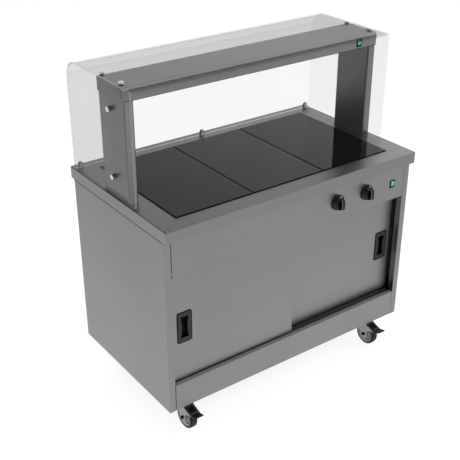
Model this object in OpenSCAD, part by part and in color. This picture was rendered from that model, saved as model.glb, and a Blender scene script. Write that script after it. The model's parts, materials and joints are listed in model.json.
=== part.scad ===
// Hot cupboard servery counter on castors, with a heated glass top, a gantry and a glass screen.
// Millimetres. X runs along the counter, Y from the control side to the screen side, Z up from the floor.

/* [Worktop] */
// Length of the worktop
top_w = 1160; // [1060:5:1400]
// Depth of the worktop
top_d = 675; // [645:5:760]
// Height of the worktop above the floor
top_h = 900; // [860:5:950]
// Thickness of the worktop sheet
top_t = 2; // [1.5:0.1:3]
// Height of the folded edge
skirt_h = 46; // [30:1:56]
// Width of the lip under the folded edge
lip_w = 12; // [6:1:16]
// Overhang of the worktop past each side panel
side_over = 2.5; // [2.2:0.1:6]
// Overhang of the worktop past the front of the cabinet
front_over = 21; // [17:1:28]
// Overhang of the worktop past the back of the cabinet
back_over = 19; // [17:1:28]

/* [Hot top] */
// Distance from the worktop's ends to the tiles
tile_side = 87.5; // [84:0.5:110]
// Distance from the worktop's front and back edges to the tiles
tile_margin = 75; // [70:0.5:90]
// Number of glass tiles
tile_n = 3; // [2:1:3]
// Thickness of a glass tile
tile_t = 6; // [4:0.5:8]
// Height that the tiles stand proud of the worktop
tile_proud = 3; // [1:0.5:3.5]
// Width of the seal round each tile
seal_w = 2; // [1.5:0.1:4]
// Width of the ledge under the tile edges
ledge_w = 14; // [10:1:18]
// Thickness of a foil heater
heater_t = 2; // [1:0.5:3]
// Depth of the heater tray
tray_h = 26; // [20:1:34]

/* [Cabinet] */
// Height of the cabinet's bottom edge above the floor
floor_gap = 143; // [138:1:160]
// Thickness of the cabinet sheet
panel_t = 1.5; // [1:0.1:2]
// Width of the front and back flanges of a side panel
flange_w = 26.5; // [22:0.5:34]
// Depth of the jamb behind a front flange
jamb_d = 27; // [22:1:34]
// Height of the base pan's lip
pan_lip = 18; // [12:1:19]
// Height of the bottom rail
rail_h = 112; // [100:1:130]
// Drop of the fascia's bottom edge below the worktop surface
fascia_drop = 192; // [180:1:200]
// Depth of the fascia's bottom return
fascia_lip = 12; // [6:1:14]
// Gap between the front pieces and the jambs
front_gap = 2; // [1:0.5:3]
// Setback of the liner's front from the cabinet front
liner_set = 66; // [66:1:90]
// Distance of the liner from the back of the cabinet
liner_back = 40; // [30:1:60]
// Gap between a side panel and the liner
liner_side = 35; // [30:1:50]
// Height of the warm air chamber under the base shelf
chamber_h = 56; // [40:1:70]
// Height of the middle shelf above the base shelf
shelf_rise = 212; // [150:2:300]
// Gap between the liner's sides and the bends of the air heater
heater_end = 120; // [90:1:200]
// Distance between the two elements of the air heater
heater_pitch = 180; // [150:1:220]
// Thickness of the liner and shelf sheet
liner_t = 1.2; // [0.8:0.1:1.5]

/* [Doors] */
// Thickness of a sliding door
door_t = 18; // [16:0.5:20]
// Setback of the front door from the cabinet front
door_set = 19; // [19:0.5:22]
// Clear gap between the two doors
door_gap = 4; // [3:0.5:6]
// Overlap of the doors past the middle
door_lap = 10; // [6:1:30]
// Height of the door's bottom edge above the rail
door_rise = 5; // [3:0.5:8]
// Height of the door behind the fascia
door_tuck = 14; // [8:1:18]
// Thickness of the door skins
skin_t = 1.2; // [0.8:0.1:1.5]
// Width of a handle
handle_w = 64; // [50:1:80]
// Height of a handle
handle_h = 130; // [100:2:160]
// Distance from a door's outer edge to the middle of its handle
handle_in = 56; // [50:1:90]
// Height that the handle rim stands proud
handle_proud = 1.6; // [1:0.1:2.2]
// Depth of the handle's pocket
pocket_d = 13; // [9:0.5:14]

/* [Controls] */
// Distance from the worktop's right end to the second knob
knob_in = 233; // [200:1:310]
// Distance between the knobs
knob_pitch = 150; // [100:1:160]
// Distance from the worktop's right end to the rocker switch
switch_in = 93; // [84:1:130]
// Drop of the knob centres below the worktop surface
knob_drop = 119; // [105:1:130]
// Diameter of a knob's skirt
knob_d = 62; // [50:1:72]
// Distance that a knob stands out
knob_out = 35; // [26:1:40]
// Radius of a knob's spindle
spindle_r = 3; // [2.5:0.1:4]
// Width of a switch bezel
switch_w = 26; // [22:1:30]
// Height of a switch bezel
switch_h = 32; // [28:1:34]
// Tilt of a rocker to each side
rocker_tilt = 7; // [4:1:9]

/* [Gantry] */
// Clear height between the worktop and the canopy
gantry_clear = 371; // [300:1:460]
// Height of the canopy box
canopy_h = 50; // [46:1:70]
// Depth of the posts and the canopy
gantry_d = 172; // [160:1:200]
// Width of a post
post_w = 38; // [30:1:46]
// Distance from the worktop's end to a post
post_in = 12; // [11:0.5:16]
// Distance that the canopy stands out past a post
canopy_over = 5.2; // [3:0.1:5.5]
// Thickness of the gantry sheet
gantry_t = 1.5; // [1:0.1:2]
// Radius of the canopy's long top edges
canopy_r = 10; // [6:1:12]
// Radius of the posts' corners
post_r = 7; // [4:1:9]
// Radius of the wiring holes through the posts
duct_r = 8; // [5:0.5:10]
// Drop of the gantry switch below the canopy top
gantry_switch_drop = 26; // [24:1:30]
// Number of heat lamps
lamp_n = 3; // [2:1:3]
// Length of a heat lamp
lamp_l = 290; // [200:5:300]
// Radius of a heat lamp
lamp_r = 5.5; // [4:0.5:7]

/* [Glass] */
// Thickness of the glass
glass_t = 6; // [4:0.5:6]
// Distance from the worktop's back edge to the screen's outer face
screen_in = 35; // [28:1:60]
// Reach of the top glass in front of the canopy
glass_reach = 61; // [30:1:80]
// Outer radius of the bend in the screen
bend_r = 70; // [40:1:90]
// Gap between the glass and the worktop
glass_lift = 5; // [3:0.5:8]
// Thickness of the washers under the top glass
washer_t = 1.5; // [1:0.1:2]
// Radius of a glass stud's head
stud_r = 10; // [8:0.5:11]
// Height of a glass stud's head
stud_h = 6; // [4:0.5:8]
// Radius of the studs' shanks
shank_r = 4; // [3:0.5:5]
// Height of the lower side studs above the worktop
stud_low = 80; // [60:1:120]
// Drop of the upper side studs below the canopy
stud_drop = 42; // [30:1:80]
// Height of the rear clamps
clamp_h = 25; // [20:1:34]
// Width of the rear clamps
clamp_w = 19; // [16:1:26]

/* [Castors] */
// Diameter of a castor wheel
wheel_d = 100; // [94:1:100]
// Width of a tyre
wheel_w = 32; // [26:1:34]
// Distance of the swivels from the worktop's ends
castor_side = 108.5; // [100:0.5:140]
// Distance of the swivels from the worktop's front and back edges
castor_set = 108; // [100:1:130]
// Distance that a wheel trails behind its swivel
castor_trail = 36; // [32:1:42]
// Reach of a brake pedal past the wheel's centre
pedal_len = 86; // [80:1:94]
// Thickness of a castor's top plate
plate_t = 4; // [3:0.5:6]
// Length of a castor's top plate
plate_l = 102; // [98:1:110]
// Width of a castor's top plate
plate_w = 84; // [80:1:92]
// Radius of the swivel's king pin
king_r = 6; // [5:0.5:8]
// Radius of a wheel's axle
axle_r = 4; // [3:0.5:5]

/* [Fits] */
// Radial clearance of a shaft that turns in a bore
run_gap = 0.05; // [0.03:0.01:0.08]
// Gap between pieces that move past each other
slip_gap = 0.4; // [0.3:0.05:0.8]
// Radius of the bore of the cable gland
gland_r = 5; // [3.5:0.5:6]

/* [Hidden] */
$fn = 48;
eps = 0.01;
steel = "#8f9092";
steel_dark = "#77797b";
black = "#26282a";
dark_glass = "#3c3e41";
clear_glass = "#c9d8dc";
chrome = "#c4c8cc";
rocker_green = "#34d399";

// The box round the whole counter is centred on the origin, so the worktop sits a little back.
pedal_reach = castor_trail + pedal_len - castor_set;
top_front = (pedal_reach - top_d) / 2;
top_back = top_front + top_d;
top_x = top_w / 2;
mid_y = (top_front + top_back) / 2;
under = top_h - top_t;
skirt_z = top_h - skirt_h;

// Cabinet planes
body_x = top_x - side_over;
body_front = top_front + front_over;
body_back = top_back - back_over;
open_x = body_x - flange_w;
rail_top = floor_gap + rail_h;
fascia_z = top_h - fascia_drop;
pan_z = floor_gap + panel_t;
pan_top = pan_z + panel_t;

// Doors
door_x = open_x - front_gap;
door_w = door_x + door_lap;
door_z0 = rail_top + door_rise;
door_z1 = fascia_z + door_tuck;
door_y = [body_front + door_set, body_front + door_set + door_t + door_gap];
door_travel = 2 * door_x - door_w;
handle_x = door_x - handle_in;
handle_z = (fascia_z + rail_top) / 2;

// Controls
knob_x = top_x - knob_in - knob_pitch;
switch_x = top_x - switch_in;

// Tracks
groove_floor = rail_top - 10;
track_t = 1.5;
track_y0 = body_front + door_set - track_t - slip_gap;
track_y1 = body_front + liner_set;
rib_y = [track_y0, door_y[0] + door_t + (door_gap - track_t) / 2, door_y[1] + door_t + slip_gap];
track_top = door_z1 + 20;
glide_w = door_t - 1;
glide_l = 30;

// Liner and shelves
liner_x = body_x - panel_t - liner_side;
liner_y0 = body_front + liner_set;
liner_y1 = body_back - liner_back;
base_shelf_z = rail_top + 1;
chamber_z = base_shelf_z - chamber_h;
liner_top = door_z1 + 6;
shelf_gap = 1;
shelf_fold = 22;
runner_w = 10;
middle_z = base_shelf_z + shelf_rise;

// Hot top
field_w = top_w - 2 * tile_side;
tile_w = (field_w - (tile_n - 1) * seal_w) / tile_n;
tile_d = top_d - 2 * tile_margin;
cut_x = field_w / 2 + seal_w;
cut_d = tile_d / 2 + seal_w;
bed_t = 1;
tile_top = top_h + tile_proud;
tile_z = tile_top - tile_t;
ledge_z = tile_z - bed_t;
frame_t = 2;
frame_rim = 16;
tray_t = 1.2;
tray_z = ledge_z - frame_t - tray_h;
tile_x = [for (i = [0:tile_n - 1]) (i - (tile_n - 1) / 2) * (tile_w + seal_w)];

// Gantry
post_out = top_x - post_in;
post_mid = post_out - post_w / 2;
canopy_z = top_h + gantry_clear;
canopy_top = canopy_z + canopy_h;
canopy_x = post_out + canopy_over;
gantry_y0 = mid_y - gantry_d / 2;
gantry_y1 = mid_y + gantry_d / 2;
reflector_w = 116;
reflector_h = 34;
lamp_z = canopy_z + 18;
lamp_span = 2 * (post_mid - post_w / 2) - 20;
gantry_switch_x = switch_x - 9;

// Glass
end_x = post_out + 6.5;
glass_y1 = top_back - screen_in;
glass_y0 = gantry_y0 - glass_reach;
glass_z0 = top_h + glass_lift;
glass_z1 = canopy_top + washer_t + glass_t;
screen_x = end_x - 0.5;
stud_x = canopy_x - 16;
stud_y = [gantry_y0 + 30, gantry_y1 - 13];
side_stud_z = [top_h + stud_low, canopy_z - stud_drop];
clamp_x = [-(end_x - 22), 0, end_x - 22];

// Castors
castor_x = top_x - castor_side;
castor_y = [top_front + castor_set, top_back - castor_set];
wheel_r = wheel_d / 2;
plate_z = pan_z - plate_t;
cup_z = plate_z - 12;
head_z = cup_z - slip_gap;
head_t = 7;
fork_in = wheel_w / 2 + 3;
fork_t = 3;

// Solid block between two corners
module block(x0, x1, y0, y1, z0, z1) {
    translate([x0, y0, z0]) cube([x1 - x0, y1 - y0, z1 - z0]);
}

// Cylinder along X, from x0 to x1
module rod_x(r, x0, x1, y, z) {
    translate([x0, y, z]) rotate([0, 90, 0]) cylinder(r = r, h = x1 - x0);
}

// Cylinder along Y, from y0 to y1
module rod_y(r, y0, y1, x, z) {
    translate([x, y0, z]) rotate([-90, 0, 0]) cylinder(r = r, h = y1 - y0);
}

// Outline in Y and Z, drawn along X
module along_x(x0, x1) {
    translate([x0, 0, 0]) rotate([90, 0, 90]) linear_extrude(x1 - x0) children();
}

// Outline in X and Z, drawn along Y from y0 to y1
module along_y(y0, y1) {
    translate([0, y1, 0]) rotate([90, 0, 0]) linear_extrude(y1 - y0) children();
}

// Rectangle with rounded corners, between two corners
module rounded(x0, x1, y0, y1, r) {
    union() {
        translate([x0 + r, y0]) square([x1 - x0 - 2 * r, y1 - y0]);
        translate([x0, y0 + r]) square([x1 - x0, y1 - y0 - 2 * r]);
        for (x = [x0 + r, x1 - r], y = [y0 + r, y1 - r]) translate([x, y]) circle(r = r);
    }
}

// Worktop: sheet with a folded edge, lips at front and back, and one opening for the tiles
module worktop() {
    color(steel) difference() {
        block(-top_x, top_x, top_front, top_back, skirt_z, top_h);
        difference() {
            block(-top_x + top_t, top_x - top_t, top_front + top_t, top_back - top_t,
                  skirt_z - eps, under);
            block(-top_x + top_t, top_x - top_t, top_front + top_t, top_front + top_t + lip_w,
                  skirt_z - 2 * eps, skirt_z + top_t);
            block(-top_x + top_t, top_x - top_t, top_back - top_t - lip_w, top_back - top_t,
                  skirt_z - 2 * eps, skirt_z + top_t);
        }
        block(-cut_x, cut_x, mid_y - cut_d, mid_y + cut_d, under - eps, top_h + eps);
        for (s = [-1, 1]) {
            translate([s * post_mid, mid_y, under - eps]) cylinder(r = duct_r, h = top_t + 2 * eps);
            for (y = [-1, 1]) translate([s * post_mid, mid_y + y * gantry_d / 4, under - eps])
                cylinder(r = shank_r + 0.5, h = top_t + 2 * eps);
        }
    }
}

// Tile frame: ledge under the tile edges, with ribbed bars under the joints
module tile_frame() {
    out_x = cut_x + frame_rim;
    out_d = cut_d + frame_rim;
    color(steel_dark) {
        difference() {
            block(-out_x, out_x, mid_y - out_d, mid_y + out_d, ledge_z - frame_t, under);
            block(-cut_x, cut_x, mid_y - cut_d, mid_y + cut_d, ledge_z, under + eps);
            block(-cut_x + ledge_w, cut_x - ledge_w, mid_y - cut_d + ledge_w,
                  mid_y + cut_d - ledge_w, ledge_z - frame_t - eps, under);
        }
        for (i = [1:tile_n - 1]) {
            x = (tile_x[i - 1] + tile_x[i]) / 2;
            block(x - ledge_w, x + ledge_w, mid_y - cut_d + ledge_w, mid_y + cut_d - ledge_w,
                  ledge_z - frame_t, ledge_z);
            block(x - frame_t, x + frame_t, mid_y - cut_d + ledge_w, mid_y + cut_d - ledge_w,
                  ledge_z - tray_h / 2, ledge_z - frame_t);
        }
    }
}

// Hot tiles: glass ceramic plates that stand a little proud of the worktop
module hot_tiles() {
    color(dark_glass) for (x = tile_x) {
        block(x - tile_w / 2, x + tile_w / 2, mid_y - tile_d / 2, mid_y + tile_d / 2, tile_z, tile_top);
    }
}

// Tile seals: rubber bed on the ledges, with a rim round the tiles and a rib in every joint
module tile_seals() {
    rib_z = tile_top - 1.5;
    seal_z = top_h - 0.4;
    color(black) difference() {
        union() {
            block(-cut_x, cut_x, mid_y - cut_d, mid_y + cut_d, ledge_z, seal_z);
            block(-cut_x + seal_w, cut_x - seal_w, mid_y - tile_d / 2, mid_y + tile_d / 2,
                  ledge_z, rib_z);
        }
        for (x = tile_x) {
            block(x - tile_w / 2, x + tile_w / 2, mid_y - tile_d / 2, mid_y + tile_d / 2,
                  tile_z, rib_z + eps);
            block(x - tile_w / 2 + ledge_w - seal_w, x + tile_w / 2 - ledge_w + seal_w,
                  mid_y - cut_d + ledge_w, mid_y + cut_d - ledge_w, ledge_z - eps, tile_z + eps);
        }
    }
}

// Foil heaters bonded under the tiles, each with its terminal block
module foil_heaters() {
    margin = 2 * ledge_w;
    color("#b08a4a") for (x = tile_x) {
        block(x - tile_w / 2 + margin, x + tile_w / 2 - margin,
              mid_y - tile_d / 2 + margin, mid_y + tile_d / 2 - margin, tile_z - heater_t, tile_z);
        block(x - 12, x + 12, mid_y + tile_d / 2 - margin - 20, mid_y + tile_d / 2 - margin,
              tile_z - heater_t - 8, tile_z - heater_t);
    }
}

// Heater tray: closed pan under the heaters, hung from the tile frame
module heater_tray() {
    x = cut_x + 6;
    d = cut_d + 6;
    z1 = ledge_z - frame_t;
    color(steel_dark) difference() {
        block(-x, x, mid_y - d, mid_y + d, tray_z, z1);
        block(-x + tray_t, x - tray_t, mid_y - d + tray_t, mid_y + d - tray_t,
              tray_z + tray_t, z1 + eps);
    }
}

// Post: box tube with a foot plate and a cap that carries the canopy
module post(s) {
    x0 = post_mid - post_w / 2;
    foot_t = 5;
    color(steel) scale([s, 1, 1]) difference() {
        translate([0, 0, top_h]) linear_extrude(gantry_clear)
            rounded(x0, post_out, gantry_y0, gantry_y1, post_r);
        translate([0, 0, top_h + foot_t]) linear_extrude(gantry_clear - foot_t - gantry_t)
            rounded(x0 + gantry_t, post_out - gantry_t, gantry_y0 + gantry_t,
                    gantry_y1 - gantry_t, post_r - gantry_t);
        translate([post_mid, mid_y, top_h - eps]) cylinder(r = duct_r, h = gantry_clear + 2 * eps);
        for (y = [-1, 1]) translate([post_mid, mid_y + y * gantry_d / 4, top_h - eps])
            cylinder(r = shank_r + run_gap, h = foot_t + 2 * eps);
        for (z = side_stud_z) rod_x(shank_r + run_gap, post_out - gantry_t - eps,
                                    post_out + eps, mid_y, z);
    }
}

module left_post() { post(-1); }
module right_post() { post(1); }

// Canopy: folded box over both posts, rounded along the top and open below between them
module canopy_shell(d) {
    r = canopy_r - d;
    y0 = gantry_y0 + d;
    y1 = gantry_y1 - d;
    z1 = canopy_top - d;
    translate([0, 0, canopy_z + d]) intersection() {
        linear_extrude(canopy_h) rounded(-canopy_x + d, canopy_x - d, y0, y1, post_r - d);
        translate([0, 0, -canopy_z - d]) along_x(-canopy_x, canopy_x) union() {
            translate([y0, canopy_z + d]) square([y1 - y0, z1 - canopy_z - d - r]);
            translate([y0 + r, canopy_z + d]) square([y1 - y0 - 2 * r, z1 - canopy_z - d]);
            for (y = [y0 + r, y1 - r]) translate([y, z1 - r]) circle(r = r);
        }
    }
}

module canopy() {
    lip = 14;
    inner_x = post_mid - post_w / 2 - 2;
    color(steel) difference() {
        canopy_shell(0);
        canopy_shell(gantry_t);
        block(-inner_x, inner_x, gantry_y0 + lip, gantry_y1 - lip,
              canopy_z - eps, canopy_z + gantry_t + eps);
        switch_cut(gantry_switch_x, gantry_y0, gantry_t, canopy_top - gantry_switch_drop);
        for (s = [-1, 1]) {
            translate([s * post_mid, mid_y, canopy_z - eps]) cylinder(r = duct_r, h = gantry_t + 2 * eps);
            for (y = stud_y) translate([s * stud_x, y, canopy_top - gantry_t - eps])
                cylinder(r = shank_r + run_gap, h = gantry_t + 2 * eps);
        }
    }
}

// Lamp reflector: bright trough inside the canopy
module lamp_reflector() {
    t = 1;
    z0 = canopy_z + gantry_t;
    z1 = z0 + reflector_h;
    flat = reflector_w / 4;
    edge = reflector_w / 2;
    rim = gantry_d / 2 - gantry_t;
    color(chrome) translate([0, mid_y, 0]) along_x(-lamp_span / 2, lamp_span / 2) polygon([
        [-rim, z0], [-edge, z0], [-flat, z1 - t], [flat, z1 - t], [edge, z0], [rim, z0],
        [rim, z0 + t], [edge + t, z0 + t], [flat + t, z1], [-flat - t, z1],
        [-edge - t, z0 + t], [-rim, z0 + t]
    ]);
}

// Middle of each lamp along the counter
lamp_x = [for (i = [0:lamp_n - 1]) (i - (lamp_n - 1) / 2) * lamp_span / lamp_n];

// Heat lamps: quartz tubes with sealed ends
module heat_lamps() {
    color("#e8e2d6") for (x = lamp_x) {
        rod_x(lamp_r, x - lamp_l / 2, x + lamp_l / 2, mid_y, lamp_z);
    }
}

// Lamp holders: ceramic blocks with a stem up to the reflector
module lamp_holders() {
    w = 10;
    top = canopy_z + gantry_t + reflector_h - 1;
    color("#e6e3dc") for (x = lamp_x, s = [-1, 1]) {
        x0 = s > 0 ? x + lamp_l / 2 : x - lamp_l / 2 - w;
        block(x0, x0 + w, mid_y - lamp_r - 4, mid_y + lamp_r + 4, lamp_z - lamp_r - 3, top);
    }
}

// Outline of the screen from behind: up the back, round the bend and forward over the canopy
module screen_outline(shrink, z0) {
    difference() {
        union() {
            translate([glass_y0, z0]) square([glass_y1 - bend_r - glass_y0, glass_z1 - shrink - z0]);
            translate([glass_y0, z0]) square([glass_y1 - shrink - glass_y0, glass_z1 - bend_r - z0]);
            translate([glass_y1 - bend_r, glass_z1 - bend_r]) circle(r = bend_r - shrink, $fn = 96);
        }
        if (shrink > 0) translate([glass_y0 - 1, z0 - 1]) square([0.5, 0.5]);
    }
}

// Screen glass: one sheet, bent once, with rounded front corners
module screen_glass() {
    corner = 12;
    color(clear_glass, 0.4) difference() {
        intersection() {
            along_x(-screen_x, screen_x) difference() {
                screen_outline(0, glass_z0);
                translate([-eps, -eps]) screen_outline(glass_t, glass_z0 - 2 * eps);
                translate([glass_y0 - 5, glass_z0 - 5])
                    square([glass_y1 - glass_t - bend_r - glass_y0, glass_z1 - glass_t - glass_z0 + 5]);
            }
            translate([0, 0, glass_z0 - 1]) linear_extrude(glass_z1 - glass_z0 + 2)
                rounded(-screen_x, screen_x, glass_y0, glass_y1 + corner * 2, corner);
        }
        for (s = [-1, 1], y = stud_y) translate([s * stud_x, y, glass_z1 - glass_t - 1])
            cylinder(r = shank_r + run_gap, h = glass_t + 2);
    }
}

// End glass: flat panes outside the posts, cut to the screen's outline
module end_glass() {
    corner = 12;
    color(clear_glass, 0.4) for (s = [-1, 1]) scale([s, 1, 1]) difference() {
        along_x(end_x, end_x + glass_t) intersection() {
            screen_outline(0, glass_z0);
            rounded(glass_y0, glass_y1 + 3 * corner, glass_z0, glass_z1 + 3 * corner, corner);
        }
        for (z = side_stud_z) rod_x(shank_r + run_gap, end_x - 1, end_x + glass_t + 1, mid_y, z);
    }
}

// Glass studs: washer, shank and round head, four in the top glass and two in each end pane
module glass_stud(washer) {
    back = 6;
    color(chrome) {
        translate([0, 0, -back]) cylinder(r = shank_r, h = back + washer + glass_t);
        cylinder(r = stud_r - 1, h = washer);
        translate([0, 0, washer + glass_t]) cylinder(r = stud_r, h = stud_h - 1);
        translate([0, 0, washer + glass_t + stud_h - 1]) cylinder(r1 = stud_r, r2 = stud_r - 1, h = 1);
    }
}

module glass_studs() {
    for (s = [-1, 1], y = stud_y) translate([s * stud_x, y, canopy_top]) glass_stud(washer_t);
    for (s = [-1, 1], z = side_stud_z) translate([s * post_out, mid_y, z]) rotate([0, s * 90, 0])
        glass_stud(end_x - post_out);
}

// Screen clamps: round-backed shoes on the worktop that hold the screen's lower edge
module screen_clamps() {
    w = clamp_w;
    grip = 4;
    slot = glass_t + 0.4;
    color(chrome) for (x = clamp_x) difference() {
        union() {
            block(x - w / 2, x + w / 2, glass_y1 - glass_t - grip, glass_y1 + grip,
                  top_h, top_h + clamp_h - w / 2);
            rod_y(w / 2, glass_y1 - glass_t - grip, glass_y1 + grip, x, top_h + clamp_h - w / 2);
        }
        block(x - w, x + w, glass_y1 - glass_t / 2 - slot / 2, glass_y1 - glass_t / 2 + slot / 2,
              glass_z0, top_h + clamp_h + 1);
    }
}

// Side panel: one folded sheet with a front flange, a jamb and a back flange
module side_panel(s) {
    t = panel_t;
    color(steel) scale([s, 1, 1]) translate([0, 0, floor_gap]) linear_extrude(under - floor_gap)
        polygon([
            [open_x, body_front], [body_x, body_front], [body_x, body_back], [open_x, body_back],
            [open_x, body_back - t], [body_x - t, body_back - t], [body_x - t, body_front + t],
            [open_x + t, body_front + t], [open_x + t, body_front + jamb_d],
            [open_x, body_front + jamb_d]
        ]);
}

module left_side_panel() { side_panel(-1); }
module right_side_panel() { side_panel(1); }

// Back panel between the back flanges, with a row of vents and the hole for the gland
module back_panel() {
    x = open_x - 0.5;
    vent_n = 9;
    color(steel) difference() {
        block(-x, x, body_back - panel_t, body_back, floor_gap, under);
        for (i = [0:vent_n - 1], s = [-1, 1]) {
            vx = s * (open_x - 120) + (i - (vent_n - 1) / 2) * 14;
            block(vx - 2.5, vx + 2.5, body_back - panel_t - 1, body_back + 1, skirt_z - 70, skirt_z - 20);
        }
        rod_y(gland_r + 5, body_back - panel_t - 1, body_back + 1, gland_x, gland_z);
    }
}

// Base pan: tray across the bottom, notched behind the jambs, that carries the castors
module pan_outline(d) {
    x = body_x - panel_t - d;
    notch_x = open_x - 0.5 - d;
    y0 = body_front + panel_t + d;
    y1 = body_back - panel_t - 0.5 - d;
    notch_y = body_front + jamb_d + 0.5 + d;
    polygon([[-notch_x, y0], [notch_x, y0], [notch_x, notch_y], [x, notch_y], [x, y1],
             [-x, y1], [-x, notch_y], [-notch_x, notch_y]]);
}

module base_pan() {
    color(steel_dark) difference() {
        translate([0, 0, pan_z]) linear_extrude(pan_lip) pan_outline(0);
        translate([0, 0, pan_top]) linear_extrude(pan_lip) pan_outline(panel_t);
        for (sx = [-1, 1], y = castor_y, bx = [-1, 1], by = [-1, 1]) {
            translate([sx * castor_x + bx * bolt_x, y + by * bolt_y, pan_z - eps])
                cylinder(r = bolt_r + 0.3, h = panel_t + 2 * eps);
        }
    }
}

// Bottom rail: folded sheet with a top ledge in front of the door track
module bottom_rail() {
    t = panel_t;
    x = open_x - front_gap;
    back = track_y0 - body_front;
    color(steel) along_x(-x, x) translate([body_front, 0]) polygon([
        [0, floor_gap], [14, floor_gap], [14, floor_gap + t], [t, floor_gap + t],
        [t, rail_top - t], [back - t, rail_top - t], [back - t, groove_floor - t],
        [back, groove_floor - t], [back, rail_top], [0, rail_top]
    ]);
}

// Fascia: front sheet over the doors, with returns and holes for the controls
module fascia() {
    t = panel_t;
    x = open_x - front_gap;
    color(steel) difference() {
        along_x(-x, x) translate([body_front, 0]) polygon([
            [0, fascia_z], [fascia_lip, fascia_z], [fascia_lip, fascia_z + t], [t, fascia_z + t],
            [t, under - t], [fascia_lip, under - t], [fascia_lip, under], [0, under]
        ]);
        for (i = [0, 1]) rod_y(bush_r + 0.5, body_front - 1, body_front + t + 1,
                               knob_x + i * knob_pitch, top_h - knob_drop);
        switch_cut(switch_x, body_front, t, top_h - knob_drop - 2);
    }
}

// Cupboard liner: inner box with legs, a front frame, shelf ledges and runners
module cupboard_liner() {
    t = liner_t;
    wing = body_x - panel_t - 0.5;
    color(steel_dark) {
        difference() {
            block(-liner_x - t, liner_x + t, liner_y0, liner_y1 + t, pan_top, liner_top + t);
            block(-liner_x, liner_x, liner_y0 - eps, liner_y1, chamber_z, liner_top);
            block(-liner_x, liner_x, liner_y0 - eps, liner_y1 + t + eps, pan_top - eps, chamber_z - t);
        }
        block(-liner_x, liner_x, liner_y0, liner_y0 + t, chamber_z, base_shelf_z - t);
        difference() {
            block(-wing, wing, liner_y0, liner_y0 + t, pan_top + 24, track_top + 3);
            block(-liner_x - eps, liner_x + eps, liner_y0 - eps, liner_y0 + t + eps,
                  pan_top + 24 - eps, liner_top + eps);
        }
        for (s = [-1, 1]) scale([s, 1, 1]) for (z = [base_shelf_z, middle_z]) {
            block(liner_x - runner_w, liner_x, liner_y0 + 8, liner_y1, z - 2 * t, z - t);
            block(liner_x - runner_w, liner_x - runner_w + t, liner_y0 + 8, liner_y1, z - 8, z - 2 * t);
        }
    }
}

// Base shelf: perforated plate over the warm air chamber
module base_shelf() {
    x = liner_x - shelf_gap;
    rows = 5;
    cols = 11;
    color(steel_dark) difference() {
        block(-x, x, liner_y0 + shelf_gap, liner_y1 - shelf_gap, base_shelf_z - liner_t, base_shelf_z);
        for (i = [0:cols - 1], j = [0:rows - 1]) {
            cx = (i - (cols - 1) / 2) * 2 * x / (cols + 1);
            cy = liner_y0 + (j + 1) * (liner_y1 - liner_y0) / (rows + 1);
            block(cx - 25, cx + 25, cy - 4, cy + 4, base_shelf_z - 2 * liner_t, base_shelf_z + liner_t);
        }
    }
}

// Middle shelf: lift-out plate with folded front and back edges
module middle_shelf() {
    x = liner_x - runner_w - 2;
    lap = runner_w + 2 - shelf_gap;
    y0 = liner_y0 + 10;
    y1 = liner_y1 - 6;
    t = liner_t;
    color(steel) {
        block(-x - lap, x + lap, y0, y1, middle_z - t, middle_z);
        for (y = [y0, y1 - t]) block(-x, x, y, y + t, middle_z - shelf_fold, middle_z - t);
    }
}

// Air heater: two rod elements bent back on themselves, on a flange bolted to the chamber floor
module air_heater() {
    r = 4.25;
    bend = 32;
    reach = liner_x - heater_end;
    y0 = (liner_y0 + liner_y1) / 2;
    z = chamber_z + 24;
    foot = 3;
    color("#5a5550") for (s = [-1, 1]) translate([0, y0 + s * heater_pitch / 2, 0]) {
        rod_x(r, -reach, reach, -bend, z);
        rod_x(r, -reach + 60, reach, bend, z);
        translate([reach, 0, z]) rotate([0, 0, -90])
            rotate_extrude(angle = 180) translate([bend, 0]) circle(r = r, $fn = 24);
        for (e = [[-reach, -bend], [-reach + 60, bend]]) {
            translate([e[0], e[1], chamber_z + foot]) cylinder(r = r, h = z - chamber_z - foot);
            translate([e[0], e[1], z]) sphere(r = r, $fn = 24);
            translate([e[0] - 15, e[1] - 12, chamber_z]) cube([30, 24, foot]);
        }
        for (x = [-reach / 3, reach / 2]) translate([x, 0, chamber_z]) {
            translate([-6, -bend - 6, 0]) cube([12, 2 * bend + 12, 2]);
            for (e = [-1, 1]) translate([-1, e * bend - 3, 2]) cube([2, 6, z - chamber_z - 2 - r / 2]);
        }
    }
}

// Top track: plate with three ribs that hold the upper glides
module top_track() {
    x = open_x - 0.5;
    rib_z = door_z1 + 4;
    color(steel_dark) {
        block(-x, x, track_y0, track_y1, track_top, track_top + track_t);
        for (y = rib_y) block(-x, x, y, y + track_t, rib_z, track_top);
    }
}

// Bottom track: two grooves between the rail's ledge and the liner
module bottom_track() {
    x = open_x - 0.5;
    color(steel_dark) {
        block(-x, x, track_y0, track_y1, groove_floor - track_t, groove_floor);
        for (y = rib_y) block(-x, x, y, y + track_t, groove_floor, rail_top);
    }
}

// Left edge of a door and the middle of its handle, by side
function door_x0(s) = s < 0 ? -door_x : door_x - door_w;
function door_front(s) = s < 0 ? door_y[0] : door_y[1];

// Door skin: pan with folded edges and a cut-out for the handle
module door_skin(s) {
    x0 = door_x0(s);
    y0 = door_front(s);
    hx = s * handle_x;
    color(steel) difference() {
        block(x0, x0 + door_w, y0, y0 + door_t, door_z0, door_z1);
        block(x0 + skin_t, x0 + door_w - skin_t, y0 + skin_t, y0 + door_t + eps,
              door_z0 + skin_t, door_z1 - skin_t);
        along_y(y0 - eps, y0 + skin_t + eps)
            rounded(hx - cup_w / 2 - 0.3, hx + cup_w / 2 + 0.3,
                    handle_z - cup_h / 2 - 0.3, handle_z + cup_h / 2 + 0.3, 5);
    }
}

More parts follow.
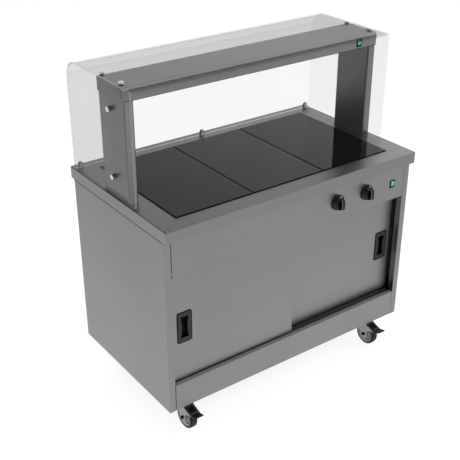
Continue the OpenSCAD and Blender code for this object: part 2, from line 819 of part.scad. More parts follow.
// Door back: flat inner sheet that closes the door
module door_back(s) {
    x0 = door_x0(s);
    y1 = door_front(s) + door_t;
    color(steel_dark) block(x0 + skin_t, x0 + door_w - skin_t, y1 - skin_t, y1,
                            door_z0 + skin_t, door_z1 - skin_t);
}

// Handle: rounded rim with a cup that narrows at its middle
cup_w = handle_w - 12;
cup_h = handle_h - 12;
pocket_w = handle_w - 30;
pocket_h = handle_h - 42;

module handle_pocket() {
    waist = pocket_w / 2 - 5;
    w = pocket_w / 2;
    h = pocket_h / 2;
    polygon([[-w, -h], [w, -h], [waist, -h / 3], [waist, h / 3], [w, h], [-w, h],
             [-waist, h / 3], [-waist, -h / 3]]);
}

module door_handle(s) {
    x = s * handle_x;
    y = door_front(s);
    color(black) difference() {
        union() {
            along_y(y - handle_proud, y) rounded(x - handle_w / 2, x + handle_w / 2,
                handle_z - handle_h / 2, handle_z + handle_h / 2, 9);
            along_y(y, y + pocket_d + 2) rounded(x - cup_w / 2, x + cup_w / 2,
                handle_z - cup_h / 2, handle_z + cup_h / 2, 4.7);
        }
        along_y(y - handle_proud - eps, y + pocket_d) translate([x, handle_z]) handle_pocket();
    }
}

// Glides: nylon blocks under and over the door that run in the track grooves
module door_glides(s) {
    x0 = door_x0(s);
    y = door_front(s) + (door_t - glide_w) / 2;
    color("#d9d9d2") for (x = [x0 + 40, x0 + door_w - 40 - glide_l]) {
        block(x, x + glide_l, y, y + glide_w, groove_floor + slip_gap, door_z0);
        block(x, x + glide_l, y, y + glide_w, door_z1, track_top - 4);
    }
}

module left_door_skin() { door_skin(-1); }
module left_door_back() { door_back(-1); }
module left_door_handle() { door_handle(-1); }
module left_door_glides() { door_glides(-1); }
module right_door_skin() { door_skin(1); }
module right_door_back() { door_back(1); }
module right_door_handle() { door_handle(1); }
module right_door_glides() { door_glides(1); }

// Knob: skirt, low cone, bar grip that narrows to its pointer end, and the spindle it turns
bush_r = spindle_r + 3;
bush_out = 4;

module knob(i) {
    x = knob_x + i * knob_pitch;
    z = top_h - knob_drop;
    skirt_t = 6;
    r = knob_d / 2;
    cone_out = knob_out * 0.62;
    bar_w = r * 0.22;
    tip = r * 0.98;
    low = -r * 0.9;
    color(black) translate([x, body_front, z]) rotate([90, 0, 0]) difference() {
        union() {
            translate([0, 0, 1]) cylinder(r = r, h = skirt_t - 3);
            translate([0, 0, skirt_t - 2]) cylinder(r1 = r, r2 = r - 2.5, h = 2);
            translate([0, 0, skirt_t]) cylinder(r1 = r - 2.5, r2 = r * 0.52, h = cone_out - skirt_t);
            intersection() {
                translate([0, 0, skirt_t]) linear_extrude(knob_out - skirt_t) polygon([
                    [-bar_w, low], [bar_w, low], [bar_w, r * 0.5], [bar_w * 0.5, tip],
                    [-bar_w * 0.5, tip], [-bar_w, r * 0.5]
                ]);
                rotate([90, 0, 90]) translate([0, 0, -r]) linear_extrude(2 * r) polygon([
                    [low, 0], [tip, 0], [tip, knob_out * 0.34], [r * 0.89, knob_out * 0.6],
                    [r * 0.73, knob_out * 0.83], [r * 0.55, knob_out * 0.97], [r * 0.43, knob_out],
                    [-r * 0.58, knob_out], [low, skirt_t + 1]
                ]);
            }
        }
        translate([0, 0, 1 - eps]) cylinder(r = bush_r + 2, h = bush_out + 1);
    }
    color(chrome) rod_y(spindle_r, body_front - bush_out - 2 - eps, body_front + 22, x, z);
}

module left_knob() { knob(0); }
module right_knob() { knob(1); }

// Regulators: switch boxes behind the fascia, with a threaded bush through it
module regulators() {
    deep = 36;
    half = 22;
    t = panel_t;
    z = top_h - knob_drop;
    color("#cfc9b8") for (i = [0, 1]) {
        x = knob_x + i * knob_pitch;
        difference() {
            union() {
                block(x - half, x + half, body_front + t, body_front + t + deep, z - half, z + half);
                rod_y(bush_r, body_front - bush_out + 1, body_front + t + 1, x, z);
            }
            rod_y(spindle_r + run_gap, body_front - bush_out, body_front + 24, x, z);
        }
        for (e = [-1, 1]) block(x + e * 12 - 3, x + e * 12 + 3, body_front + t + deep,
                                body_front + t + deep + 8, z - 1, z + 1);
    }
}

// Opening for a switch in a front sheet
module switch_cut(x, y, t, z) {
    block(x - switch_w / 2 + 2, x + switch_w / 2 - 2, y - 1, y + t + 1,
          z - switch_h / 2 + 2, z + switch_h / 2 - 2);
}

rocker_r = switch_h / 2 - 4.5;
rocker_w = switch_w - 9;
rocker_back = 5;
pivot_r = 1.5;

// Switch body: bezel, case and the round hollow that the rocker swings in
module switch_body(x, y, t, z) {
    deep = 20;
    py = y + rocker_back;
    color(black) difference() {
        union() {
            block(x - switch_w / 2, x + switch_w / 2, y - 2, y, z - switch_h / 2, z + switch_h / 2);
            block(x - switch_w / 2 + 2.3, x + switch_w / 2 - 2.3, y, y + deep,
                  z - switch_h / 2 + 2.3, z + switch_h / 2 - 2.3);
        }
        rod_x(rocker_r + slip_gap, x - rocker_w / 2 - slip_gap, x + rocker_w / 2 + slip_gap, py, z);
        block(x - rocker_w / 2 - slip_gap, x + rocker_w / 2 + slip_gap, y - 3, py,
              z - rocker_r - slip_gap, z + rocker_r + slip_gap);
        rod_x(pivot_r + run_gap, x - rocker_w / 2 - 1.5, x + rocker_w / 2 + 1.5, py, z);
    }
}

module switch_bodies() {
    switch_body(switch_x, body_front, panel_t, top_h - knob_drop - 2);
    switch_body(gantry_switch_x, gantry_y0, gantry_t, canopy_top - gantry_switch_drop);
}

// Rocker: lit cap with two flats, pressed in at its lower end, and its pivot pins
module rocker(x, y, z) {
    py = y + rocker_back;
    face = rocker_back + 4;
    color(rocker_green) {
        translate([x - rocker_w / 2, py, z]) rotate([rocker_tilt, 0, 0]) rotate([90, 0, 90])
            linear_extrude(rocker_w) intersection() {
                circle(r = rocker_r);
                polygon([[-face + 1, 0], [-face - 1, -rocker_r], [rocker_r, -rocker_r],
                         [rocker_r, rocker_r], [-face - 1, rocker_r]]);
            }
        rod_x(pivot_r, x - rocker_w / 2 - 1.2, x + rocker_w / 2 + 1.2, py, z);
    }
}

module heat_rocker() { rocker(switch_x, body_front, top_h - knob_drop - 2); }
module gantry_rocker() { rocker(gantry_switch_x, gantry_y0, canopy_top - gantry_switch_drop); }

// Cable gland in the back panel, low at the left end
gland_x = -(open_x - 110);
gland_z = pan_top + 32;
gland_out = 16;
gland_in = 14;

module cable_gland() {
    color(black) difference() {
        union() {
            rod_y(gland_r + 4.7, body_back - gland_in, body_back + gland_out - 4, gland_x, gland_z);
            rod_y(gland_r + 8, body_back, body_back + 5, gland_x, gland_z);
            translate([gland_x, body_back + gland_out - 4, gland_z]) rotate([-90, 0, 0])
                cylinder(r1 = gland_r + 4.7, r2 = gland_r + 2, h = 4);
            translate([gland_x, body_back - panel_t - 5, gland_z]) rotate([-90, 0, 0])
                cylinder(r = gland_r + 9, h = 5, $fn = 6);
        }
        rod_y(gland_r, body_back - gland_in - 1, body_back + gland_out + 1, gland_x, gland_z);
    }
}

// Terminal block on the base pan, beside the gland
module terminal_block() {
    n = 5;
    pitch = 11;
    y = liner_y1 - 60;
    color("#e4e1d4") difference() {
        block(gland_x - n * pitch / 2, gland_x + n * pitch / 2, y, y + 24, pan_top, pan_top + 18);
        for (i = [0:n - 1]) translate([gland_x + (i - (n - 1) / 2) * pitch, y + 12, pan_top + 8])
            cylinder(r = 3, h = 12);
    }
}

// Hole pattern of the castor plates
bolt_x = 40;
bolt_y = 30;
bolt_r = 4;

// Fasteners: castor bolts with nuts, and the bolts under the gantry posts
module fasteners() {
    color(chrome) {
        for (sx = [-1, 1], y = castor_y, bx = [-1, 1], by = [-1, 1])
            translate([sx * castor_x + bx * bolt_x, y + by * bolt_y, 0]) {
                translate([0, 0, plate_z - 5]) cylinder(r = 7.5, h = 5, $fn = 6);
                translate([0, 0, plate_z - eps]) cylinder(r = bolt_r, h = plate_t + panel_t + 8);
                translate([0, 0, pan_top]) cylinder(r = 7.5, h = 6, $fn = 6);
            }
        for (s = [-1, 1], y = [-1, 1]) translate([s * post_mid, mid_y + y * gantry_d / 4, 0]) {
            translate([0, 0, under - 5]) cylinder(r = 7, h = 5, $fn = 6);
            translate([0, 0, under - eps]) cylinder(r = shank_r, h = top_t + 5);
        }
    }
}

// Castor plates: top plate, ball race cup and king pin with its nut
module castor_plates() {
    color(chrome) for (sx = [-1, 1], y = castor_y) translate([sx * castor_x, y, 0]) difference() {
        union() {
            translate([-plate_l / 2, -plate_w / 2, plate_z]) cube([plate_l, plate_w, plate_t]);
            translate([0, 0, cup_z]) cylinder(r = 26, h = 12);
            translate([0, 0, head_z - head_t - 8]) cylinder(r = king_r, h = head_t + 9);
            translate([0, 0, head_z - head_t - 8]) cylinder(r = 9, h = 7.6, $fn = 6);
        }
        for (bx = [-1, 1], by = [-1, 1]) translate([bx * bolt_x, by * bolt_y, plate_z - eps])
            cylinder(r = bolt_r + 0.3, h = plate_t + 2 * eps);
    }
}

// Fork: swivel head and two legs down to the axle, all trailing to the front
module fork(x, y) {
    leg_top = head_z - head_t;
    color(chrome) translate([x, y, 0]) {
        difference() {
            union() {
                translate([0, 0, leg_top]) cylinder(r = 29, h = head_t);
                translate([-fork_in - fork_t, -castor_trail - 8, leg_top])
                    cube([2 * (fork_in + fork_t), castor_trail + 26, fork_t]);
                for (s = [-1, 1]) scale([s, 1, 1]) along_x(fork_in, fork_in + fork_t) fork_leg(leg_top);
            }
            translate([0, 0, leg_top - 1]) cylinder(r = king_r + run_gap, h = head_t + 2);
            rod_x(axle_r + run_gap, -fork_in - fork_t - 1, fork_in + fork_t + 1, -castor_trail, wheel_r);
            for (s = [-1, 1]) rod_x(pedal_pin_r + run_gap, s * (fork_in + fork_t / 2) - 3,
                                    s * (fork_in + fork_t / 2) + 3, pedal_y, pedal_z);
        }
        rod_x(axle_r, -fork_in - fork_t - 5, fork_in + fork_t + 5, -castor_trail, wheel_r);
        for (s = [-1, 1]) scale([s, 1, 1]) translate([fork_in + fork_t, -castor_trail, wheel_r])
            rotate([0, 90, 0]) cylinder(r = 7.5, h = 5, $fn = 6);
    }
}

// Side view of a fork leg: from the head down to the axle, with an arm along the pedal
module fork_leg(z1) {
    r = 18;
    arm = -castor_trail - pad_end;
    polygon([[-castor_trail - r, wheel_r], [-castor_trail - r - 5, wheel_r + 25],
             [-castor_trail - r - 22, wheel_r + 33.5], [arm, wheel_r + 36], [arm, pad_z(arm) - 2],
             [-castor_trail - 14, pad_z(-castor_trail - 14) - 2], [-castor_trail - 8, z1 - 12],
             [-castor_trail - 8, z1 + fork_t], [18, z1 + fork_t], [18, z1 - 12],
             [-castor_trail + r, wheel_r]]);
    translate([-castor_trail, wheel_r]) circle(r = r);
}

module front_left_fork() { fork(-castor_x, castor_y[0]); }
module front_right_fork() { fork(castor_x, castor_y[0]); }
module rear_left_fork() { fork(-castor_x, castor_y[1]); }
module rear_right_fork() { fork(castor_x, castor_y[1]); }

// Wheel centre: hub disc, groove and rim, bored for the axle
rim_r = wheel_r - 9;

module wheel(x, y) {
    hub_w = 2 * fork_in - 1;
    rim_w = wheel_w - 3;
    disc_w = hub_w / 2 - 3;
    color("#a3a5a7") translate([x, y - castor_trail, wheel_r]) rotate([0, 90, 0]) rotate_extrude()
        polygon([
            [axle_r + run_gap, -hub_w / 2], [13, -hub_w / 2], [14, -disc_w], [rim_r - 12.5, -disc_w + 2.5],
            [rim_r - 11.5, -7], [rim_r - 8, -7], [rim_r - 7, -rim_w / 2], [rim_r, -rim_w / 2],
            [rim_r, rim_w / 2], [rim_r - 7, rim_w / 2], [rim_r - 8, 7], [rim_r - 11.5, 7],
            [rim_r - 12.5, disc_w - 2.5], [14, disc_w], [13, hub_w / 2], [axle_r + run_gap, hub_w / 2]
        ]);
}

module front_left_wheel() { wheel(-castor_x, castor_y[0]); }
module front_right_wheel() { wheel(castor_x, castor_y[0]); }
module rear_left_wheel() { wheel(-castor_x, castor_y[1]); }
module rear_right_wheel() { wheel(castor_x, castor_y[1]); }

// Tyre: soft tread round the rim with bevelled shoulders
module tyre(x, y) {
    color(black) translate([x, y - castor_trail, wheel_r]) rotate([0, 90, 0]) rotate_extrude($fn = 96)
        polygon([
            [rim_r, -wheel_w / 2 + 1], [wheel_r - 5, -wheel_w / 2], [wheel_r - 1.5, -wheel_w / 2 + 3],
            [wheel_r, -wheel_w / 2 + 8], [wheel_r, wheel_w / 2 - 8], [wheel_r - 1.5, wheel_w / 2 - 3],
            [wheel_r - 5, wheel_w / 2], [rim_r, wheel_w / 2 - 1]
        ]);
}

module front_left_tyre() { tyre(-castor_x, castor_y[0]); }
module front_right_tyre() { tyre(castor_x, castor_y[0]); }
module rear_left_tyre() { tyre(-castor_x, castor_y[1]); }
module rear_right_tyre() { tyre(castor_x, castor_y[1]); }

// Brake pedal: sloped pad with a shallow recess and a turned-up toe, on a pin between the fork legs
pedal_y = -castor_trail + 6;
pedal_z = wheel_r + 59;
pedal_pin_r = 2.5;
pad_end = 55;
pad_slope = 0.293;
function pad_z(y) = wheel_r + 53 + pad_slope * (y + castor_trail + 13.5);

module pedal(s) {
    half = fork_in - 0.6;
    boss = wheel_w / 2;
    t = 2.8;
    low = -castor_trail - pad_end;
    toe = -castor_trail - pedal_len;
    back = pedal_y - 8;
    color(black) translate([s * castor_x, castor_y[0], 0]) {
        difference() {
            along_x(-half, half) polygon([
                [back, pad_z(back)], [low, pad_z(low)], [toe, wheel_r + 48.5], [toe, wheel_r + 45.5],
                [low - 4, pad_z(low) - 6], [low + 8, pad_z(low + 8) - 4],
                [low + 16, pad_z(low + 16) - t], [back, pad_z(back) - t]
            ]);
            along_x(-half + 7, half - 7) polygon([
                [low + 10, pad_z(low + 10) + 5], [low + 10, pad_z(low + 10) - 1.2],
                [low + 34, pad_z(low + 34) - 1.2], [low + 34, pad_z(low + 34) + 5]
            ]);
        }
        along_x(-boss, boss) polygon([
            [pedal_y, pedal_z + 5.4], [back - 1, pad_z(back - 1)], [back - 1, pad_z(back - 1) - t],
            [pedal_y, pedal_z - 5.4]
        ]);
        rod_x(pedal_pin_r, -fork_in - fork_t, fork_in + fork_t, pedal_y, pedal_z);
        rod_x(pedal_pin_r + 3, -boss, boss, pedal_y, pedal_z);
    }
}

module left_pedal() { pedal(-1); }
module right_pedal() { pedal(1); }

worktop();
tile_frame();
hot_tiles();
tile_seals();
foil_heaters();
heater_tray();
left_post();
right_post();
canopy();
lamp_reflector();
heat_lamps();
lamp_holders();
screen_glass();
end_glass();
glass_studs();
screen_clamps();
left_side_panel();
right_side_panel();
back_panel();
base_pan();
bottom_rail();
fascia();
cupboard_liner();
base_shelf();
middle_shelf();
air_heater();
top_track();
bottom_track();
left_door_skin();
left_door_back();
left_door_handle();
left_door_glides();
right_door_skin();
right_door_back();
right_door_handle();
right_door_glides();
left_knob();
right_knob();
regulators();
switch_bodies();
heat_rocker();
gantry_rocker();
cable_gland();
terminal_block();
fasteners();
castor_plates();
front_left_fork();
front_right_fork();
rear_left_fork();
rear_right_fork();
front_left_wheel();
front_right_wheel();
rear_left_wheel();
rear_right_wheel();
front_left_tyre();
front_right_tyre();
rear_left_tyre();
rear_right_tyre();
left_pedal();
right_pedal();
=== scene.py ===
# Looks of the heated serving counter, in metres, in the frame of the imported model.
import json
import math

import bpy
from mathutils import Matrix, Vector


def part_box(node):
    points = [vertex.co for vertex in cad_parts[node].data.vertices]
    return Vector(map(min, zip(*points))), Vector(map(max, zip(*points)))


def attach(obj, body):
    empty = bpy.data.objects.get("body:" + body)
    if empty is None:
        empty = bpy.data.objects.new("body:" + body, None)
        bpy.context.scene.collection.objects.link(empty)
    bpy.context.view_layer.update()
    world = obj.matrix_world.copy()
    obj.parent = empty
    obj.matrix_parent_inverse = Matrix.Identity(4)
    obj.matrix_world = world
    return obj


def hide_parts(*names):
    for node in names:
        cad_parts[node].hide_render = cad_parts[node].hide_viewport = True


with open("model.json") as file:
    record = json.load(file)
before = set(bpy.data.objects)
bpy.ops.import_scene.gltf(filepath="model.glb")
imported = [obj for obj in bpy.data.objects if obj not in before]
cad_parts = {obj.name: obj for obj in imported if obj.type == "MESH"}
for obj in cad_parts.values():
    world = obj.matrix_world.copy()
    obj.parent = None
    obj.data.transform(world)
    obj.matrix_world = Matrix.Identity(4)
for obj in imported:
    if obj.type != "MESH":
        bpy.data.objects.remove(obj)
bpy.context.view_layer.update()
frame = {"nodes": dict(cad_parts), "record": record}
nodes = frame["nodes"]
record = frame["record"]
bodyOf = {}
for bodyName, members in record["behaviour"]["bodies"].items():
    for member in members:
        bodyOf[member] = bodyName
print("frame loaded:", len(nodes), "nodes")


def tone(red, green=None, blue=None):
    # a colour as the screen shows it, 0 to 255
    parts = (red, red if green is None else green, red if blue is None else blue)
    return tuple(((part / 255 + 0.055) / 1.055) ** 2.4 for part in parts) + (1.0,)


# materials

def startMaterial(name):
    material = bpy.data.materials.new(name)
    material.use_nodes = True
    return material, material.node_tree.nodes["Principled BSDF"]


def addNode(owner, kind, inputs=None, **settings):
    # owner is a material or the world
    node = owner.node_tree.nodes.new(kind)
    for key, value in settings.items():
        setattr(node, key, value)
    for key, value in (inputs or {}).items():
        node.inputs[key].default_value = value
    return node


def join(owner, source, target):
    owner.node_tree.links.new(source, target)


noiseRange = (0.3, 0.7)    # where most of a noise pattern lies
scratchDepth = 0.0002


def pattern(material, scale, detail=3.0, rough=0.6, shift=(0, 0, 0)):
    # noise on object coordinates, stretched by its scale along each axis
    coords = addNode(material, "ShaderNodeTexCoord")
    place = addNode(material, "ShaderNodeMapping", {"Scale": scale, "Location": shift})
    noise = addNode(material, "ShaderNodeTexNoise", {"Scale": 1.0, "Detail": detail, "Roughness": rough})
    join(material, coords.outputs["Object"], place.inputs["Vector"])
    join(material, place.outputs["Vector"], noise.inputs["Vector"])
    return noise.outputs["Fac"]


def spread(material, source, low, high):
    node = addNode(material, "ShaderNodeMapRange", {
        "From Min": noiseRange[0], "From Max": noiseRange[1], "To Min": low, "To Max": high})
    join(material, source, node.inputs["Value"])
    return node.outputs["Result"]


def blendColours(material, source, dark, light, between=noiseRange):
    ramp = addNode(material, "ShaderNodeValToRGB")
    for stop, place, colour in zip(ramp.color_ramp.elements, between, (dark, light)):
        stop.position = place
        stop.color = colour
    join(material, source, ramp.inputs["Fac"])
    return ramp.outputs["Color"]


def addBump(material, shader, source, strength):
    bump = addNode(material, "ShaderNodeBump", {"Strength": strength, "Distance": scratchDepth})
    join(material, source, bump.inputs["Height"])
    join(material, bump.outputs["Normal"], shader.inputs["Normal"])


steelLook = {
    "along": 7.0,        # streaks per metre along the brushing
    "across": 520.0,     # and across it
    "contrast": 0.035,   # how far the streaks change the tone
    "cloud": 2.2,        # size of the slow changes, per metre
    "cloudShare": 0.35,
    "blend": (0.36, 0.64),
    "bump": 0.12,
}


def brushedSteel(name, level, grain="x", rough=0.36, metal=1.0):
    material, shader = startMaterial(name)
    contrast = steelLook["contrast"]
    scale = {axis: steelLook["across"] for axis in "xyz"}
    scale[grain] = steelLook["along"]
    fine = pattern(material, (scale["x"], scale["y"], scale["z"]), 4.0, 0.65)
    slow = pattern(material, (steelLook["cloud"],) * 3, 2.0, 0.5, (3.1, 1.7, 0.4))
    both = addNode(material, "ShaderNodeMix", {0: steelLook["cloudShare"]}, data_type="FLOAT")
    join(material, fine, both.inputs[2])
    join(material, slow, both.inputs[3])
    colour = blendColours(material, both.outputs[0], tone(level * (1 - contrast)),
                          tone(level * (1 + contrast)), steelLook["blend"])
    join(material, colour, shader.inputs["Base Color"])
    join(material, spread(material, fine, rough - 0.04, rough + 0.05), shader.inputs["Roughness"])
    addBump(material, shader, fine, steelLook["bump"])
    shader.inputs["Metallic"].default_value = metal
    return material


def brightMetal(name, level, rough, grainSize, metal=1.0):
    material, shader = startMaterial(name)
    mottle = pattern(material, (grainSize,) * 3, 3.0, 0.55)
    join(material, blendColours(material, mottle, tone(level - 14), tone(level + 8)),
         shader.inputs["Base Color"])
    join(material, spread(material, mottle, rough - 0.03, rough + 0.06), shader.inputs["Roughness"])
    addBump(material, shader, mottle, 0.05)
    shader.inputs["Metallic"].default_value = metal
    return material


def mouldedPlastic(name, dark, light, rough, grainSize=900.0, bump=0.25, shine=0.5):
    material, shader = startMaterial(name)
    grain = pattern(material, (grainSize,) * 3, 2.0, 0.5)
    worn = pattern(material, (60.0,) * 3, 3.0, 0.6, (0.7, 0.2, 1.3))
    join(material, blendColours(material, worn, dark, light), shader.inputs["Base Color"])
    join(material, spread(material, worn, rough - 0.05, rough + 0.07), shader.inputs["Roughness"])
    addBump(material, shader, grain, bump)
    shader.inputs["Specular IOR Level"].default_value = shine
    return material


def clearGlass(name, look):
    # deeper in tint where it is seen at a slant, partly the longer path through the glass and partly
    # painted shade, and lighter where it turns away at a bend, a painted reflection
    material, shader = startMaterial(name)
    haze = pattern(material, (look["haze"],) * 3, 2.0, 0.5)
    slant = addNode(material, "ShaderNodeLayerWeight", {"Blend": 0.5})
    wiped = addNode(material, "ShaderNodeMath", {1: look["hazeShare"]}, operation="MULTIPLY_ADD")
    join(material, haze, wiped.inputs[0])
    join(material, slant.outputs["Facing"], wiped.inputs[2])
    ramp = addNode(material, "ShaderNodeValToRGB")
    ramp.color_ramp.elements.new(look["stops"][1])
    for stop, place, shade in zip(ramp.color_ramp.elements, look["stops"], ("square", "slant", "rim")):
        stop.position = place
        stop.color = look[shade]
    join(material, wiped.outputs[0], ramp.inputs["Fac"])
    join(material, ramp.outputs["Color"], shader.inputs["Base Color"])
    shader.inputs["Transmission Weight"].default_value = look["clear"]
    shader.inputs["Roughness"].default_value = look["rough"]
    shader.inputs["IOR"].default_value = look["ior"]
    shader.inputs["Coat Weight"].default_value = look["gloss"]
    shader.inputs["Coat IOR"].default_value = look["coatIor"]
    shader.inputs["Coat Roughness"].default_value = look["coatRough"]
    return material


def ceramicGlass(name, look):
    material, shader = startMaterial(name)
    speck = pattern(material, (2600.0,) * 3, 1.0, 0.5)
    smear = pattern(material, (14.0,) * 3, 3.0, 0.55, (0.3, 2.1, 0.0))
    join(material, blendColours(material, speck, look["dark"], look["light"], (0.45, 0.72)),
         shader.inputs["Base Color"])
    join(material, spread(material, smear, look["rough"], look["rough"] + 0.05),
         shader.inputs["Roughness"])
    shader.inputs["IOR"].default_value = look["ior"]
    return material


def litLens(name, colour, glow):
    material, shader = startMaterial(name)
    ribs = pattern(material, (300.0, 300.0, 40.0), 1.0, 0.4)
    join(material, blendColours(material, ribs, tone(*[part * 0.9 for part in colour]), tone(*colour)),
         shader.inputs["Base Color"])
    shader.inputs["Roughness"].default_value = 0.28
    shader.inputs["Emission Color"].default_value = tone(*colour)
    shader.inputs["Emission Strength"].default_value = glow
    return material


# tints of the glass: seen square on, at a slant, and where it turns away, the last lighter as a painted
# reflection
glassLook = {
    "square": tone(243), "slant": tone(219), "rim": tone(250), "stops": (0.28, 0.53, 0.66),
    "rough": 0.0, "ior": 1.08, "clear": 1.0,
    "gloss": 0.25, "coatIor": 1.5, "coatRough": 0.02,
    "haze": 9.0,         # size of the wiped patches, per metre
    "hazeShare": 0.02,
}
# glass without its gloss; it and the copies below carry tints by place: painted shade, painted light and
# painted reflection
plainLook = dict(glassLook, ior=1.02, gloss=0.0)
# the flat top, in one darker tint: painted shade
topLook = dict(plainLook, square=tone(212), slant=tone(212), rim=tone(212))
# the bend, darker square on and lighter where it turns away: painted reflection
bendLook = dict(plainLook, square=tone(208), slant=tone(232), rim=tone(253),
                stops=(0.54, 0.70, 0.92))
# the pane at the right, in one lighter tint: painted light
farPaneLook = dict(plainLook, square=tone(234), slant=tone(234), rim=tone(234))
# the pane at the left, tinted darker than the one at the right: painted shade
paneLook = dict(glassLook, square=tone(236), slant=tone(221), rim=tone(221))
edgeLook = dict(glassLook, square=tone(226), slant=tone(216), rim=tone(216), gloss=0.1)
# nearly clear, for edges that should barely show: painted light
faintLook = dict(plainLook, square=tone(250), slant=tone(248), rim=tone(248))
# a dark line down the bend: painted shade
lineLook = dict(plainLook, square=tone(188), slant=tone(188), rim=tone(188))
# a grey, mostly opaque edge at the left pane's front: painted shade
frontLook = dict(glassLook, square=tone(160), slant=tone(154), rim=tone(154),
                 rough=0.3, gloss=0.0, clear=0.3)
# darker still, at the left pane's foot: painted shade
footLook = dict(frontLook, square=tone(132), slant=tone(126), rim=tone(126))

tileLook = {"dark": tone(20), "light": tone(34), "rough": 0.02, "ior": 1.27}
# a darker copy for the tile at the right: painted shade
farTileLook = dict(tileLook, dark=tone(12), light=tone(26), ior=1.25)

finishes = {
    "bodySteel": brushedSteel("bodySteel", 142, "x"),
    "sideSteel": brushedSteel("sideSteel", 142, "z"),
    "topSteel": brushedSteel("topSteel", 138, "x"),
    "gantrySteel": brushedSteel("gantrySteel", 126, "x"),
    "postSteel": brushedSteel("postSteel", 128, "z"),
    # darker and lighter copies of the post steel: painted shade and painted light
    "postInnerPaintedShade": brushedSteel("postInnerPaintedShade", 108, "z", 0.4, 0.78),
    "postFrontPaintedLight": brushedSteel("postFrontPaintedLight", 154, "z", 0.45, 0.3),
    # lighter copies for the canopy's top and front: painted light
    "canopyTopPaintedLight": brushedSteel("canopyTopPaintedLight", 252, "x", 0.45, 0.25),
    "canopyFrontPaintedLight": brushedSteel("canopyFrontPaintedLight", 146, "x", 0.45, 0.25),
    "innerSteel": brushedSteel("innerSteel", 112, "x", 0.42),
    "tile": ceramicGlass("tile", tileLook),
    "farTilePaintedShade": ceramicGlass("farTilePaintedShade", farTileLook),
    "glass": clearGlass("glass", glassLook),
    "paneGlass": clearGlass("paneGlass", paneLook),
    "glassEdge": clearGlass("glassEdge", edgeLook),
    "glassTop": clearGlass("glassTop", topLook),
    "glassBend": clearGlass("glassBend", bendLook),
    "farPane": clearGlass("farPane", farPaneLook),
    "glassFaint": clearGlass("glassFaint", faintLook),
    "glassLine": clearGlass("glassLine", lineLook),
    "glassFront": clearGlass("glassFront", frontLook),
    "glassFoot": clearGlass("glassFoot", footLook),
    "foldShade": brushedSteel("foldShade", 84, "y", 0.5, 0.6),
    # a lighter matt copy for the rail's ledge: painted light
    "ledgePaintedLight": brushedSteel("ledgePaintedLight", 134, "x", 0.45, 0.3),
    # a matt copy toned for the track's top faces: painted shade
    "trackPaintedShade": brushedSteel("trackPaintedShade", 118, "x", 0.5, 0.3),
    # a dark copy of the steel for edges, corners and the floor of the track: painted shade
    "paintedShadeSteel": brushedSteel("paintedShadeSteel", 58, "x", 0.6, 0.2),
    "chrome": brightMetal("chrome", 236, 0.1, 120.0),
    "satin": brightMetal("satin", 226, 0.34, 160.0, 0.55),
    "zinc": brightMetal("zinc", 190, 0.3, 260.0),
    "aluminium": brightMetal("aluminium", 220, 0.18, 60.0),
    "sheath": brightMetal("sheath", 92, 0.5, 200.0),
    # black for the tiles' seals and the clamps' dark faces, and painted shadow under the worktop's fold
    "seal": mouldedPlastic("seal", tone(12), tone(18), 0.6),
    "tyre": mouldedPlastic("tyre", tone(10), tone(16), 0.55, 700.0, shine=0.3),
    # the tread is lighter and mottled: painted sheen, mottled like worn rubber
    "tread": mouldedPlastic("tread", tone(10), tone(34), 0.6, 700.0, shine=0.4),
    "hub": mouldedPlastic("hub", tone(146), tone(160), 0.42),
    "wheelRim": mouldedPlastic("wheelRim", tone(216), tone(228), 0.42),
    # near black for the tiles' dark joints and round the fork's axle, and painted shade on the stud
    # washers and in the wheels' sunken ring
    "groove": mouldedPlastic("groove", tone(3), tone(6), 0.8, shine=0.05),
    "fork": brightMetal("fork", 158, 0.36, 260.0, 0.7),
    "pedalFrame": mouldedPlastic("pedalFrame", tone(56), tone(66), 0.4),
    # a lighter copy for the knob bar's edge: painted highlight
    "knobPaintedHighlight": mouldedPlastic("knobPaintedHighlight", tone(118), tone(140), 0.25, bump=0.05),
    "handle": mouldedPlastic("handle", tone(22), tone(29), 0.5),
    # near black for the handles' outline and pockets, painted shade in the pockets
    "pocket": mouldedPlastic("pocket", tone(2), tone(5), 0.75, shine=0.15),
    "bezel": mouldedPlastic("bezel", tone(6), tone(10), 0.5, shine=0.2),
    "knob": mouldedPlastic("knob", tone(8), tone(13), 0.3, bump=0.1, shine=0.3),
    "pedal": mouldedPlastic("pedal", tone(6), tone(11), 0.45, shine=0.25),
    "nylon": mouldedPlastic("nylon", tone(26), tone(34), 0.5),
    "ivory": mouldedPlastic("ivory", tone(206, 200, 182), tone(216, 210, 194), 0.45),
    "ceramic": mouldedPlastic("ceramic", tone(222, 218, 208), tone(232, 229, 221), 0.3),
    "quartz": mouldedPlastic("quartz", tone(226, 222, 212), tone(238, 235, 228), 0.2, 300.0, 0.05),
    "foil": mouldedPlastic("foil", tone(176, 126, 60), tone(190, 140, 72), 0.35),
    "pointer": mouldedPlastic("pointer", tone(236), tone(244), 0.4),
    "lens": litLens("lens", (66, 214, 156), 0.25),
    "lensShade": litLens("lensShade", (30, 128, 92), 0.1),
}
print("materials made:", len(finishes))

